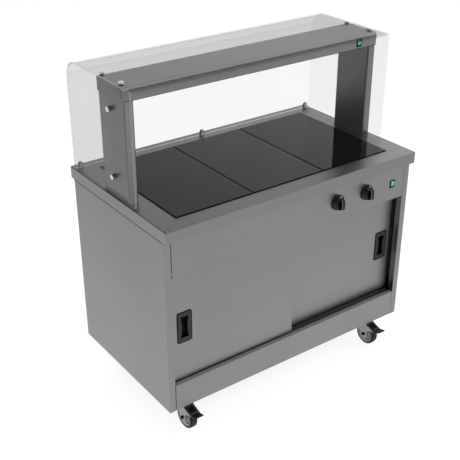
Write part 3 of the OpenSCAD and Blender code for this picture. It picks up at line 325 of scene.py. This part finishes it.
finishOf = {
    "worktop": "topSteel", "tile_frame": "innerSteel", "hot_tiles": "tile", "tile_seals": "seal",
    "foil_heaters": "foil", "heater_tray": "innerSteel", "left_post": "postSteel",
    "right_post": "postSteel", "canopy": "gantrySteel", "lamp_reflector": "aluminium",
    "heat_lamps": "quartz", "lamp_holders": "ceramic", "screen_glass": "glass", "end_glass": "glass",
    "glass_studs": "chrome", "screen_clamps": "satin", "left_side_panel": "sideSteel",
    "right_side_panel": "sideSteel", "back_panel": "bodySteel", "base_pan": "innerSteel",
    "bottom_rail": "bodySteel", "fascia": "bodySteel", "cupboard_liner": "innerSteel",
    "base_shelf": "innerSteel", "middle_shelf": "innerSteel", "air_heater": "sheath",
    "top_track": "innerSteel", "bottom_track": "innerSteel", "left_door_skin": "bodySteel",
    "right_door_skin": "bodySteel", "left_door_back": "innerSteel", "right_door_back": "innerSteel",
    "left_door_handle": "handle", "right_door_handle": "handle", "left_door_glides": "nylon",
    "right_door_glides": "nylon", "left_knob": "knob", "right_knob": "knob", "regulators": "ivory",
    "switch_bodies": "knob", "heat_rocker": "lens", "gantry_rocker": "lens", "cable_gland": "nylon",
    "terminal_block": "ceramic", "fasteners": "zinc", "castor_plates": "zinc",
    "left_pedal": "pedal", "right_pedal": "pedal",
}
for corner in ("front_left", "front_right", "rear_left", "rear_right"):
    finishOf[corner + "_fork"] = "fork"
    finishOf[corner + "_wheel"] = "hub"
    finishOf[corner + "_tyre"] = "tyre"


def paint(piece, finish):
    piece.data.materials.clear()
    piece.data.materials.append(finishes[finish])


for name, node in nodes.items():
    paint(node, finishOf[name])


# modelling helpers

def selectOnly(piece):
    if bpy.context.mode != "OBJECT":
        bpy.ops.object.mode_set(mode="OBJECT")
    bpy.ops.object.select_all(action="DESELECT")
    piece.select_set(True)
    bpy.context.view_layer.objects.active = piece


def pickFaces(piece, test):
    selectOnly(piece)
    bpy.ops.object.mode_set(mode="EDIT")
    bpy.ops.mesh.select_mode(type="FACE")
    bpy.ops.mesh.select_all(action="DESELECT")
    bpy.ops.object.mode_set(mode="OBJECT")
    for face in piece.data.polygons:
        face.select = test(face)
    bpy.ops.object.mode_set(mode="EDIT")


def pickEdges(piece, test):
    # test gets the two ends of an edge
    selectOnly(piece)
    bpy.ops.object.mode_set(mode="EDIT")
    bpy.ops.mesh.select_mode(type="EDGE")
    bpy.ops.mesh.select_all(action="DESELECT")
    bpy.ops.object.mode_set(mode="OBJECT")
    points = piece.data.vertices
    for edge in piece.data.edges:
        edge.select = test(points[edge.vertices[0]].co, points[edge.vertices[1]].co)
    bpy.ops.object.mode_set(mode="EDIT")


def applyModifier(piece, kind, **settings):
    modifier = piece.modifiers.new(kind.title(), kind)
    for key, value in settings.items():
        setattr(modifier, key, value)
    selectOnly(piece)
    bpy.ops.object.modifier_apply(modifier=modifier.name)


def smooth(piece, degrees):
    # round faces shade smooth, and large flat ones stay flat
    selectOnly(piece)
    bpy.ops.object.shade_smooth_by_angle(angle=math.radians(degrees))
    applyModifier(piece, "WEIGHTED_NORMAL", mode="FACE_AREA", weight=100, keep_sharp=True)


def near(a, b, gap=0.0002):
    # the same place, within a gap in metres
    return abs(a - b) < gap


def copyNode(name, flatten=True):
    # a merged copy of a node, ready to be shaped further
    piece = bpy.data.objects.new(name + "_piece", nodes[name].data.copy())
    bpy.context.scene.collection.objects.link(piece)
    selectOnly(piece)
    bpy.ops.object.mode_set(mode="EDIT")
    bpy.ops.mesh.select_all(action="SELECT")
    bpy.ops.mesh.remove_doubles(threshold=0.00001)
    if flatten:
        bpy.ops.mesh.dissolve_limited(angle_limit=math.radians(0.4))
    bpy.ops.object.mode_set(mode="OBJECT")
    return piece


def finishPiece(piece, name, degrees=35):
    # the piece stands for its node
    smooth(piece, degrees)
    paint(piece, finishOf[name])
    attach(piece, bodyOf[name])
    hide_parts(name)
    return piece


def addFinish(piece, finish, test):
    # one more finish on the faces that pass the test
    piece.data.materials.append(finishes[finish])
    for face in piece.data.polygons:
        if test(face):
            face.material_index = len(piece.data.materials) - 1


def addDetail(piece, name, finish, body):
    # a piece that has no node of its own
    piece.name = name
    smooth(piece, 35)
    paint(piece, finish)
    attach(piece, body)
    return piece


def roundEdges(piece, test, width, steps=3):
    pickEdges(piece, test)
    bpy.ops.mesh.bevel(offset_type="OFFSET", offset=width, segments=steps, profile=0.5,
                       affect="EDGES")
    bpy.ops.object.mode_set(mode="OBJECT")


def roundAll(piece, width, steps=2, degrees=40):
    applyModifier(piece, "BEVEL", width=width, segments=steps, limit_method="ANGLE",
                  angle_limit=math.radians(degrees))


# steelwork with its fold radii

squareOn = 0.9     # a normal's share along an axis, for a face that looks that way
flatOn = 0.99      # and for one that is flat across it

foldLook = {
    "worktop": 0.0028, "cabinet": 0.0022, "doors": 0.0020, "canopy": 0.0032,
    "jamb": 0.0012,        # inner edge at the front of the side panels
    "track": 0.0004,
    "trackRails": 0.002,   # the track's floor lies further under its top than this
    "ledge": 0.02,         # the rail's ledge lies higher over its foot than this
}


def onEdge(**places):
    # an edge that lies at the given place on each axis named
    return lambda a, b: all(near(getattr(end, axis), place)
                            for end in (a, b) for axis, place in places.items())


def foldWorktop():
    low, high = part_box("worktop")
    piece = copyNode("worktop")

    def outer(a, b):
        # the edges round the top and down the four corners
        sides = (near(a.x, b.x) and (near(a.x, low.x) or near(a.x, high.x)),
                 near(a.y, b.y) and (near(a.y, low.y) or near(a.y, high.y)))
        onTop = near(a.z, high.z) and near(b.z, high.z) and any(sides)
        return onTop or (all(sides) and not near(a.z, b.z))

    roundEdges(piece, outer, foldLook["worktop"], 4)
    finishPiece(piece, "worktop")
    addFinish(piece, "sideSteel", lambda face: abs(face.normal.x) > 0.95)
    addFinish(piece, "foldShade", lambda face: face.normal.x < -0.25 and face.normal.z > 0.25)


def foldSides():
    for name in ("left_side_panel", "right_side_panel"):
        low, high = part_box(name)
        outer, inner = (low.x, high.x) if name.startswith("left") else (high.x, low.x)
        piece = copyNode(name)
        roundEdges(piece, onEdge(x=outer, y=low.y), foldLook["cabinet"])
        roundEdges(piece, onEdge(x=outer, y=high.y), foldLook["cabinet"])
        roundEdges(piece, onEdge(x=inner, y=low.y), foldLook["jamb"])
        finishPiece(piece, name)


def foldFronts():
    low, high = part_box("fascia")
    piece = copyNode("fascia")
    roundEdges(piece, onEdge(y=low.y, z=low.z), foldLook["cabinet"])
    finishPiece(piece, "fascia")
    low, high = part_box("bottom_rail")
    piece = copyNode("bottom_rail")
    roundEdges(piece, onEdge(y=low.y, z=high.z), foldLook["cabinet"])
    roundEdges(piece, onEdge(y=low.y, z=low.z), foldLook["cabinet"])
    finishPiece(piece, "bottom_rail")
    ledge = low.z + foldLook["ledge"]
    # the rail's ledge gets a lighter matt copy of the steel: painted light
    addFinish(piece, "ledgePaintedLight", lambda face: face.normal.z > squareOn and face.center.z > ledge)


def foldTrack():
    piece = copyNode("bottom_track")
    roundAll(piece, foldLook["track"], 1)
    finishPiece(piece, "bottom_track")
    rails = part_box("bottom_track")[1].z - foldLook["trackRails"]
    # the track's top faces get a matt copy of the steel toned to the shade under the doors, and the faces
    # down between its rails a dark one: painted shade
    addFinish(piece, "trackPaintedShade", lambda face: face.normal.z > squareOn)
    addFinish(piece, "paintedShadeSteel", lambda face: face.center.z < rails)


def foldDoors():
    for name in ("left_door_skin", "right_door_skin"):
        low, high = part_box(name)
        piece = copyNode(name)
        sides = [onEdge(y=low.y, x=low.x), onEdge(y=low.y, x=high.x),
                 onEdge(y=low.y, z=low.z), onEdge(y=low.y, z=high.z)]
        roundEdges(piece, lambda a, b: any(side(a, b) for side in sides), foldLook["doors"])
        finishPiece(piece, name)


def foldCanopy():
    low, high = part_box("canopy")
    piece = copyNode("canopy")
    roundEdges(piece, onEdge(y=low.y, z=low.z), foldLook["canopy"])
    finishPiece(piece, "canopy", degrees=40)
    # the front and the top get lighter copies of the steel, painted light, and the lower front edge a dark
    # one, a painted shadow line
    addFinish(piece, "canopyFrontPaintedLight", lambda face: face.normal.y < -0.3)
    addFinish(piece, "canopyTopPaintedLight", lambda face: face.normal.z > 0.2)
    addFinish(piece, "paintedShadeSteel", lambda face: face.normal.y < -0.15 and face.normal.z < -0.05)


def foldPosts():
    # the inner faces get a darker copy of the steel, painted shade, and the left post also gets a lighter
    # front, painted light, and a dark corner strip, painted shade
    for name, inward in (("left_post", 1), ("right_post", -1)):
        piece = finishPiece(copyNode(name), name, degrees=40)
        addFinish(piece, "postInnerPaintedShade", lambda face: face.normal.x * inward > 0.12)
        if name == "left_post":
            addFinish(piece, "postFrontPaintedLight", lambda face: face.normal.y < -squareOn)
            addFinish(piece, "paintedShadeSteel", lambda face: face.normal.y < -0.15 and face.normal.x > 0.3)


for foldPiece in (foldWorktop, foldSides, foldFronts, foldTrack, foldDoors, foldCanopy, foldPosts):
    foldPiece()
print("folded sheets shaped")


# glass and small pieces that keep the node's form, with its edges eased

easeWidth = {
    "screen_glass": 0.0007, "end_glass": 0.0007, "switch_bodies": 0.0010,
    "screen_clamps": 0.0022, "glass_studs": 0.0026, "castor_plates": 0.0006,
    "cable_gland": 0.0006, "heat_rocker": 0.0006, "gantry_rocker": 0.0006,
    "fasteners": 0.0004, "lamp_holders": 0.0008, "regulators": 0.0008,
    "lamp_reflector": 0.0, "heat_lamps": 0.0012, "air_heater": 0.0, "terminal_block": 0.0006,
}
wideEase = 0.002       # an edge eased wider than this gets more steps

glassShape = {
    "thick": 0.006,
    "slack": 0.0002,
    "level": 0.9995,       # how level a face of the flat top is
    "topBand": 0.01,       # the flat top lies in this much of the height
    "bendBand": 0.05,      # and the upper bend in this much
    "bendStrips": (("glassLine", 0.02, 0.12), ("glassBend", 0.12, 0.58), ("glassFaint", 0.58, 0.99)),
    "endTurn": 0.7,        # a normal's share along X at the ends of the sheet
    "frontTurn": 0.2,      # and along Y at a front edge
    "frontBand": 0.004,
    "footBand": 0.02,
    "studBand": 0.01,      # the studs through the sheet start this far under the canopy's top
}
switchLook = {"bezelFrom": -0.08, "shade": 0.004, "rightShade": 0.0045}
clampLook = {"rubber": (-0.97, -0.3)}     # the slant of the faces that touch the glass, which are painted black in a dark arc


def dressSheet(piece, low, high):
    # the flat top, painted darker as shade, the strips of the bend on both sides of the sheet, painted as
    # a dark line, a reflection and nearly clear glass, and the polished edges, of which the far end and
    # the front are painted nearly clear as light
    def flatTop(face):
        return abs(face.normal.z) > glassShape["level"] and face.center.z > high.z - glassShape["topBand"]

    def inBend(face, start, stop):
        turn = face.normal.y if face.normal.z > 0 else -face.normal.y
        return (start < turn < stop and abs(face.normal.x) < 0.1
                and face.center.z > high.z - glassShape["bendBand"])

    def foot(face):
        return face.normal.z < -glassShape["endTurn"] and face.center.z < low.z + glassShape["footBand"]

    def front(face):
        return (face.normal.y < -glassShape["frontTurn"]
                and face.center.y < low.y + glassShape["frontBand"])

    addFinish(piece, "glassTop", flatTop)
    for finish, start, stop in glassShape["bendStrips"]:
        addFinish(piece, finish, lambda face: inBend(face, start, stop))
    addFinish(piece, "glassEdge", lambda face: abs(face.normal.x) > glassShape["endTurn"] or foot(face))
    addFinish(piece, "glassFaint", lambda face: face.normal.x > glassShape["endTurn"] or front(face))


def dressPanes(piece, low, high):
    # the left pane shows a darker tint, painted shade, and its edges, with the front edge and the foot
    # painted darker still as shade; the right one is painted lighter, as light, so that it barely shows
    def rim(face):
        return abs(face.normal.x) < 0.5

    def leftRim(face):
        return rim(face) and face.center.x < 0

    addFinish(piece, "paneGlass", lambda face: face.center.x < 0)
    addFinish(piece, "glassEdge", rim)
    addFinish(piece, "glassFront", lambda face: leftRim(face) and face.normal.y < -glassShape["frontTurn"])
    addFinish(piece, "glassFoot", lambda face: leftRim(face) and face.normal.z < -0.4)
    addFinish(piece, "farPane", lambda face: face.center.x > 0 and abs(face.normal.x) > squareOn)
    addFinish(piece, "glassFaint", lambda face: face.center.x > 0 and rim(face))


def dressStuds(piece, low, high):
    # the washers between the glass and the steel behind it are painted black, a painted dark reflection on
    # chrome
    behind = glassShape["thick"] + glassShape["slack"]
    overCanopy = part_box("canopy")[1].z + glassShape["slack"]
    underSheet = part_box("screen_glass")[1].z - behind
    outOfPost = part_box("right_post")[1].x + glassShape["slack"]
    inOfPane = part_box("end_glass")[1].x - behind

    def washer(face):
        if face.center.z > overCanopy - glassShape["studBand"]:
            return overCanopy < face.center.z < underSheet
        return outOfPost < abs(face.center.x) < inOfPane

    addFinish(piece, "groove", washer)


def dressSwitches(piece, low, high):
    addFinish(piece, "bezel", lambda face: face.center.y < switchLook["bezelFrom"])


def dressRocker(piece, low, high):
    # darker to the left, below and to the right, where the bezel shades it
    addFinish(piece, "lensShade", lambda face: face.center.x < low.x + switchLook["shade"]
              or face.center.z < low.z + switchLook["shade"]
              or face.center.x > high.x - switchLook["rightShade"])


def dressClamps(piece, low, high):
    steep, slight = clampLook["rubber"]
    addFinish(piece, "seal", lambda face: steep < face.normal.y < slight)


dressing = {
    "screen_glass": dressSheet, "end_glass": dressPanes, "glass_studs": dressStuds,
    "switch_bodies": dressSwitches, "heat_rocker": dressRocker, "gantry_rocker": dressRocker,
    "screen_clamps": dressClamps,
}

for name, width in easeWidth.items():
    piece = copyNode(name, name != "end_glass")
    if width:
        roundAll(piece, width, 4 if width > wideEase else 2)
    finishPiece(piece, name, degrees=42)
    if name in dressing:
        dressing[name](piece, *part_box(name))
print("edges eased on", len(easeWidth), "nodes")


# heated tiles, with dark ground edges

tileShape = {
    "ease": 0.0008,
    "rim": 0.0011,        # width of the dark line round each tile's top
    "wide": 0.05,         # area over which a face is one of the wide ones
    "farFrom": 0.18,      # the tile at the right lies beyond this
}


def makeTiles():
    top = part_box("hot_tiles")[1].z
    piece = copyNode("hot_tiles")
    roundAll(piece, tileShape["ease"])
    pickFaces(piece, lambda face: face.normal.z > flatOn and near(face.center.z, top))
    bpy.ops.mesh.inset(thickness=tileShape["rim"], depth=0.0, use_individual=True)
    bpy.ops.object.mode_set(mode="OBJECT")
    middles = {face.index for face in piece.data.polygons if face.area > tileShape["wide"]}
    finishPiece(piece, "hot_tiles", degrees=42)
    # the tile at the right gets a darker copy of the ceramic glass: painted shade
    addFinish(piece, "farTilePaintedShade", lambda face: face.center.x > tileShape["farFrom"])
    addFinish(piece, "groove", lambda face: face.index not in middles)
    print("tiles made:", len(middles), "wide faces")


makeTiles()


# door handles, with a dark outline round the rim and a pocket painted black as its shade

handleLook = {
    "outline": 0.0030,
    "outlineDark": 0.9,   # share of the outline that is dark
    "ease": 0.0012,
    "sunk": 0.0032,       # faces further back than this are in the pocket
}


def makeHandles():
    for name in ("left_door_handle", "right_door_handle"):
        low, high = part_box(name)
        middle = (low + high) / 2
        half = (high - low) / 2
        piece = copyNode(name)
        roundAll(piece, handleLook["ease"])
        pickFaces(piece, lambda face: face.normal.y < -flatOn and near(face.center.y, low.y))
        bpy.ops.mesh.inset(thickness=handleLook["outline"], depth=0.0)
        bpy.ops.object.mode_set(mode="OBJECT")
        finishPiece(piece, name, degrees=50)
        sunk = low.y + handleLook["sunk"]
        margin = handleLook["outline"] * handleLook["outlineDark"] + handleLook["ease"]

        def rimOrPocket(face):
            outside = (abs(face.center.x - middle.x) > half.x - margin
                       or abs(face.center.z - middle.z) > half.z - margin)
            return face.center.y > sunk or outside

        # the outline and the pocket are painted black, the pocket as painted shade
        addFinish(piece, "pocket", rimOrPocket)
    print("handles made")


makeHandles()


# a black bead under the worktop's fold, along both sides: painted shadow in the gap under the fold

beadLook = {"tall": 0.0048, "thick": 0.0018, "ease": 0.0006}


def makeBeads():
    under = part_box("worktop")[0].z
    for name, side in (("left_side_panel", -1), ("right_side_panel", 1)):
        low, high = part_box(name)
        outer = low.x if side < 0 else high.x
        bpy.ops.object.select_all(action="DESELECT")
        bpy.ops.mesh.primitive_cube_add(size=1, location=(
            outer + side * beadLook["thick"] / 2, (low.y + high.y) / 2,
            under - beadLook["tall"] / 2))
        bead = bpy.context.object
        bead.scale = (beadLook["thick"], high.y - low.y, beadLook["tall"])
        bpy.ops.object.transform_apply(location=True, rotation=True, scale=True)
        roundAll(bead, beadLook["ease"])
        # the bead stands for the shadow under the fold: painted shadow
        addDetail(bead, name + "_bead", "seal", bodyOf[name])
    print("beads made")


makeBeads()


# knobs

knobLook = {
    "edge": 0.0014,
    "ease": 0.4,          # the other edges, as a share of the bar's
    "bar": 0.0068,        # half the width of the grip bar
    "band": 0.0036,       # the bar's left edge lies in a band this wide
    "back": 0.0232,       # and ends this far behind the front
    "slopeFrom": 0.012,   # the slope starts this far over the middle
    "shortest": 0.004,    # shorter edges on the front stay sharp
    "slack": 0.0003,
    "margin": 0.0004,     # the lit strip's faces reach this far past the band
    "dotRadius": 0.0024,
    "dotThick": 0.0022,
    "dotBack": 0.0170,    # the dot, behind the bar's front and above the middle
    "dotRise": 0.0289,
    "dotTilt": 17.3,
}


def makeKnobs():
    for name in ("left_knob", "right_knob"):
        low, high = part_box(name)
        middle = (low + high) / 2
        left = middle.x - knobLook["bar"]
        right = left + knobLook["band"]
        back = low.y + knobLook["back"]
        slope = middle.z + knobLook["slopeFrom"]
        margin = knobLook["margin"]
        piece = copyNode(name)

        def barEdge(a, b):
            # the bar's left edge, down its slope and its front
            inBand = all(left - knobLook["slack"] < end.x < right and end.y < back for end in (a, b))
            onFront = near(a.y, low.y) and near(b.y, low.y) and abs(a.z - b.z) > knobLook["shortest"]
            onSlope = a.z > slope and b.z > slope and abs(a.y - b.y) > margin
            return inBand and (onFront or onSlope)

        roundEdges(piece, barEdge, knobLook["edge"], 2)
        roundAll(piece, knobLook["edge"] * knobLook["ease"], 2, 25)
        finishPiece(piece, name, degrees=50)

        # the bar's left edge is painted lighter: a painted highlight
        def litEdge(face):
            return (left < face.center.x < right + margin and face.center.y < back + 2 * margin
                    and face.normal.y < -0.2 and -0.95 < face.normal.x < -0.2)

        addFinish(piece, "knobPaintedHighlight", litEdge)
        bpy.ops.object.select_all(action="DESELECT")
        bpy.ops.mesh.primitive_cylinder_add(
            vertices=24, radius=knobLook["dotRadius"], depth=knobLook["dotThick"],
            location=(middle.x, low.y + knobLook["dotBack"], middle.z + knobLook["dotRise"]),
            rotation=(math.radians(knobLook["dotTilt"]), 0, 0))
        dot = bpy.context.object
        bpy.ops.object.transform_apply(location=True, rotation=True, scale=True)
        roundAll(dot, knobLook["dotThick"] * knobLook["ease"], 3)
        addDetail(dot, name + "_pointer", "pointer", bodyOf[name])
    print("knobs made")


makeKnobs()


# castors

castorLook = {
    "forkEase": 0.0007,
    "wheelEase": 0.0006,
    "bolt": 0.0085,         # radius round the axle in which the fork's outer faces are painted black
    # radii of the wheel's sunken ring, painted black as its shade
    "groove": (0.0292, 0.0334),
    "treadTurn": 0.55,      # how flat the tread is before its shoulders start
}


def makeCastors():
    for corner in ("front_left", "front_right", "rear_left", "rear_right"):
        low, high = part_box(corner + "_wheel")
        axle = (low + high) / 2

        def off(face):
            return math.hypot(face.center.y - axle.y, face.center.z - axle.z)

        fork = copyNode(corner + "_fork")
        roundAll(fork, castorLook["forkEase"])
        finishPiece(fork, corner + "_fork", degrees=42)
        # the fork's outer faces round the axle are painted black
        addFinish(fork, "groove", lambda face: off(face) < castorLook["bolt"]
                  and abs(face.center.x - axle.x) > high.x - axle.x)
        wheel = copyNode(corner + "_wheel")
        roundAll(wheel, castorLook["wheelEase"])
        finishPiece(wheel, corner + "_wheel", degrees=42)
        inner, outer = castorLook["groove"]
        addFinish(wheel, "wheelRim", lambda face: off(face) > outer)
        # the sunken ring is painted black: painted shade
        addFinish(wheel, "groove", lambda face: inner < off(face) < outer)
        tyre = finishPiece(copyNode(corner + "_tyre"), corner + "_tyre", degrees=42)
        # the tread gets the lighter, mottled finish: painted sheen, mottled like wear
        addFinish(tyre, "tread", lambda face: abs(face.normal.x) < castorLook["treadTurn"])
    print("castors shaped")


makeCastors()


# brake pedals

pedalLook = {
    "ease": 0.0006,
    "outline": 0.0020,
    "level": 0.92,           # how level the pad is
    "slant": (-0.32, -0.24), # and how far it leans to the front
    "padArea": 0.00008,
    "slack": 0.0003,
}


def makePedals():
    for name in ("left_pedal", "right_pedal"):
        piece = copyNode(name)
        roundAll(piece, pedalLook["ease"])
        most, least = pedalLook["slant"]

        def slopes(face):
            return face.normal.z > pedalLook["level"] and most < face.normal.y < least

        top = max(face.center.dot(face.normal) for face in piece.data.polygons
                  if slopes(face) and face.area > pedalLook["padArea"])

        def pad(face):
            return slopes(face) and near(face.center.dot(face.normal), top, pedalLook["slack"])

        pickFaces(piece, pad)
        bpy.ops.mesh.inset(thickness=pedalLook["outline"], depth=0.0)
        bpy.ops.object.mode_set(mode="OBJECT")
        inner = {face.index for face in piece.data.polygons if face.select}
        finishPiece(piece, name, degrees=40)
        addFinish(piece, "pedalFrame", lambda face: face.index in inner)
    print("pedals made")


makePedals()


# studio

studio = {
    "cameraPlace": (-1.89621, -2.49257, 2.25598),
    "cameraTurn": (62.0024, 0.0011, -36.0582),
    "lens": 69.028,
    "sensor": 36.0,
    "clip": 200.0,
    "roomLevel": 0.62,
    "skyLeft": 0.35,      # the room as metal and glass show it, darker to the left
    "skyRight": 1.2,
    "skyFrom": 0.1,       # where it starts to brighten, and where it is brightest
    "skyTo": 0.85,
    "floorSize": 80,
    "floorGlow": 0.84,
    "floorTone": 0.25,
    "floorFar": 0.58,     # glow of the far floor in metal and glass
    "fadeFrom": 0.6,
    "fadeTo": 2.6,
}
panels = {
    "keyPanel": {"place": (-2.4, -3.6, 3.8), "aim": (0, 0, 0.7), "size": (2.6, 2.6), "power": 90},
    "fillPanel": {"place": (3.4, -2.6, 2.8), "aim": (0, 0, 0.7), "size": (2.4, 2.4), "power": 45},
    "backPanel": {"place": (0.5, 3.8, 3.6), "aim": (0, 0, 0.9), "size": (3.0, 2.0), "power": 45},
}


def placeCamera():
    turn = [math.radians(angle) for angle in studio["cameraTurn"]]
    bpy.ops.object.camera_add(location=studio["cameraPlace"], rotation=turn)
    camera = bpy.context.object
    camera.data.lens = studio["lens"]
    camera.data.sensor_width = studio["sensor"]
    camera.data.clip_end = studio["clip"]
    bpy.context.scene.camera = camera


def rayKinds(owner, *kinds):
    # 1 for a ray of any of these kinds, else 0
    path = addNode(owner, "ShaderNodeLightPath")
    total = path.outputs["Is " + kinds[0] + " Ray"]
    for kind in kinds[1:]:
        most = addNode(owner, "ShaderNodeMath", operation="MAXIMUM")
        join(owner, total, most.inputs[0])
        join(owner, path.outputs["Is " + kind + " Ray"], most.inputs[1])
        total = most.outputs[0]
    return total


def mixShaders(owner, share, first, second):
    mix = addNode(owner, "ShaderNodeMixShader")
    join(owner, share, mix.inputs[0])
    join(owner, first.outputs[0], mix.inputs[1])
    join(owner, second.outputs[0], mix.inputs[2])
    return mix


def lightRoom():
    # white to the camera, an even grey to matt faces, and a graded room to metal and glass
    world = bpy.data.worlds.new("room")
    bpy.context.scene.world = world
    world.use_nodes = True
    world.node_tree.nodes.clear()
    place = addNode(world, "ShaderNodeTexCoord")
    parts = addNode(world, "ShaderNodeSeparateXYZ")
    ramp = addNode(world, "ShaderNodeMapRange", {
        "From Min": studio["skyFrom"], "From Max": studio["skyTo"],
        "To Min": studio["skyLeft"], "To Max": studio["skyRight"]}, interpolation_type="SMOOTHSTEP")
    join(world, place.outputs["Generated"], parts.inputs[0])
    join(world, parts.outputs["X"], ramp.inputs["Value"])
    plain = {"Color": (1, 1, 1, 1)}
    white = addNode(world, "ShaderNodeBackground", plain)
    room = addNode(world, "ShaderNodeBackground", dict(plain, Strength=studio["roomLevel"]))
    sky = addNode(world, "ShaderNodeBackground", plain)
    join(world, ramp.outputs["Result"], sky.inputs["Strength"])
    lit = mixShaders(world, rayKinds(world, "Glossy", "Transmission"), room, sky)
    seen = mixShaders(world, rayKinds(world, "Camera"), lit, white)
    join(world, seen.outputs[0], addNode(world, "ShaderNodeOutputWorld").inputs[0])


def addPanel(name, look):
    turn = (Vector(look["aim"]) - Vector(look["place"])).to_track_quat("-Z", "Y").to_euler()
    bpy.ops.object.light_add(type="AREA", location=look["place"], rotation=turn)
    lamp = bpy.context.object
    lamp.name = name
    lamp.data.shape = "RECTANGLE"
    lamp.data.size, lamp.data.size_y = look["size"]
    lamp.data.energy = look["power"]
    lamp.visible_glossy = False
    lamp.visible_transmission = False


def makeFloor():
    # it keeps the shadow, and glows so that the camera sees it white
    bpy.ops.mesh.primitive_plane_add(size=studio["floorSize"], location=(0, 0, 0))
    floor = bpy.context.object
    floor.name = "floor"
    material, shader = startMaterial("paleFloor")
    material.node_tree.nodes.remove(shader)
    place = addNode(material, "ShaderNodeTexCoord")
    away = addNode(material, "ShaderNodeVectorMath", operation="LENGTH")
    fade = addNode(material, "ShaderNodeMapRange", {
        "From Min": studio["fadeFrom"], "From Max": studio["fadeTo"],
        "To Min": studio["floorGlow"], "To Max": studio["floorFar"]})
    join(material, place.outputs["Object"], away.inputs[0])
    join(material, away.outputs["Value"], fade.inputs["Value"])
    seen = rayKinds(material, "Camera", "Transmission")
    mirrored = addNode(material, "ShaderNodeMath", operation="SUBTRACT", use_clamp=True)
    join(material, rayKinds(material, "Glossy"), mirrored.inputs[0])
    join(material, seen, mirrored.inputs[1])
    inMetal = addNode(material, "ShaderNodeMath", operation="MULTIPLY")
    join(material, mirrored.outputs[0], inMetal.inputs[0])
    join(material, fade.outputs["Result"], inMetal.inputs[1])
    level = addNode(material, "ShaderNodeMath", {1: studio["floorGlow"]}, operation="MULTIPLY_ADD")
    join(material, seen, level.inputs[0])
    join(material, inMetal.outputs[0], level.inputs[2])
    matt = addNode(material, "ShaderNodeBsdfDiffuse", {"Color": (studio["floorTone"],) * 3 + (1,)})
    glow = addNode(material, "ShaderNodeEmission")
    join(material, level.outputs[0], glow.inputs["Strength"])
    both = addNode(material, "ShaderNodeAddShader")
    join(material, matt.outputs[0], both.inputs[0])
    join(material, glow.outputs[0], both.inputs[1])
    join(material, both.outputs[0], material.node_tree.nodes["Material Output"].inputs[0])
    floor.data.materials.append(material)


placeCamera()
lightRoom()
for name, look in panels.items():
    addPanel(name, look)
makeFloor()
bpy.context.scene.view_settings.view_transform = "Standard"
print("studio set")
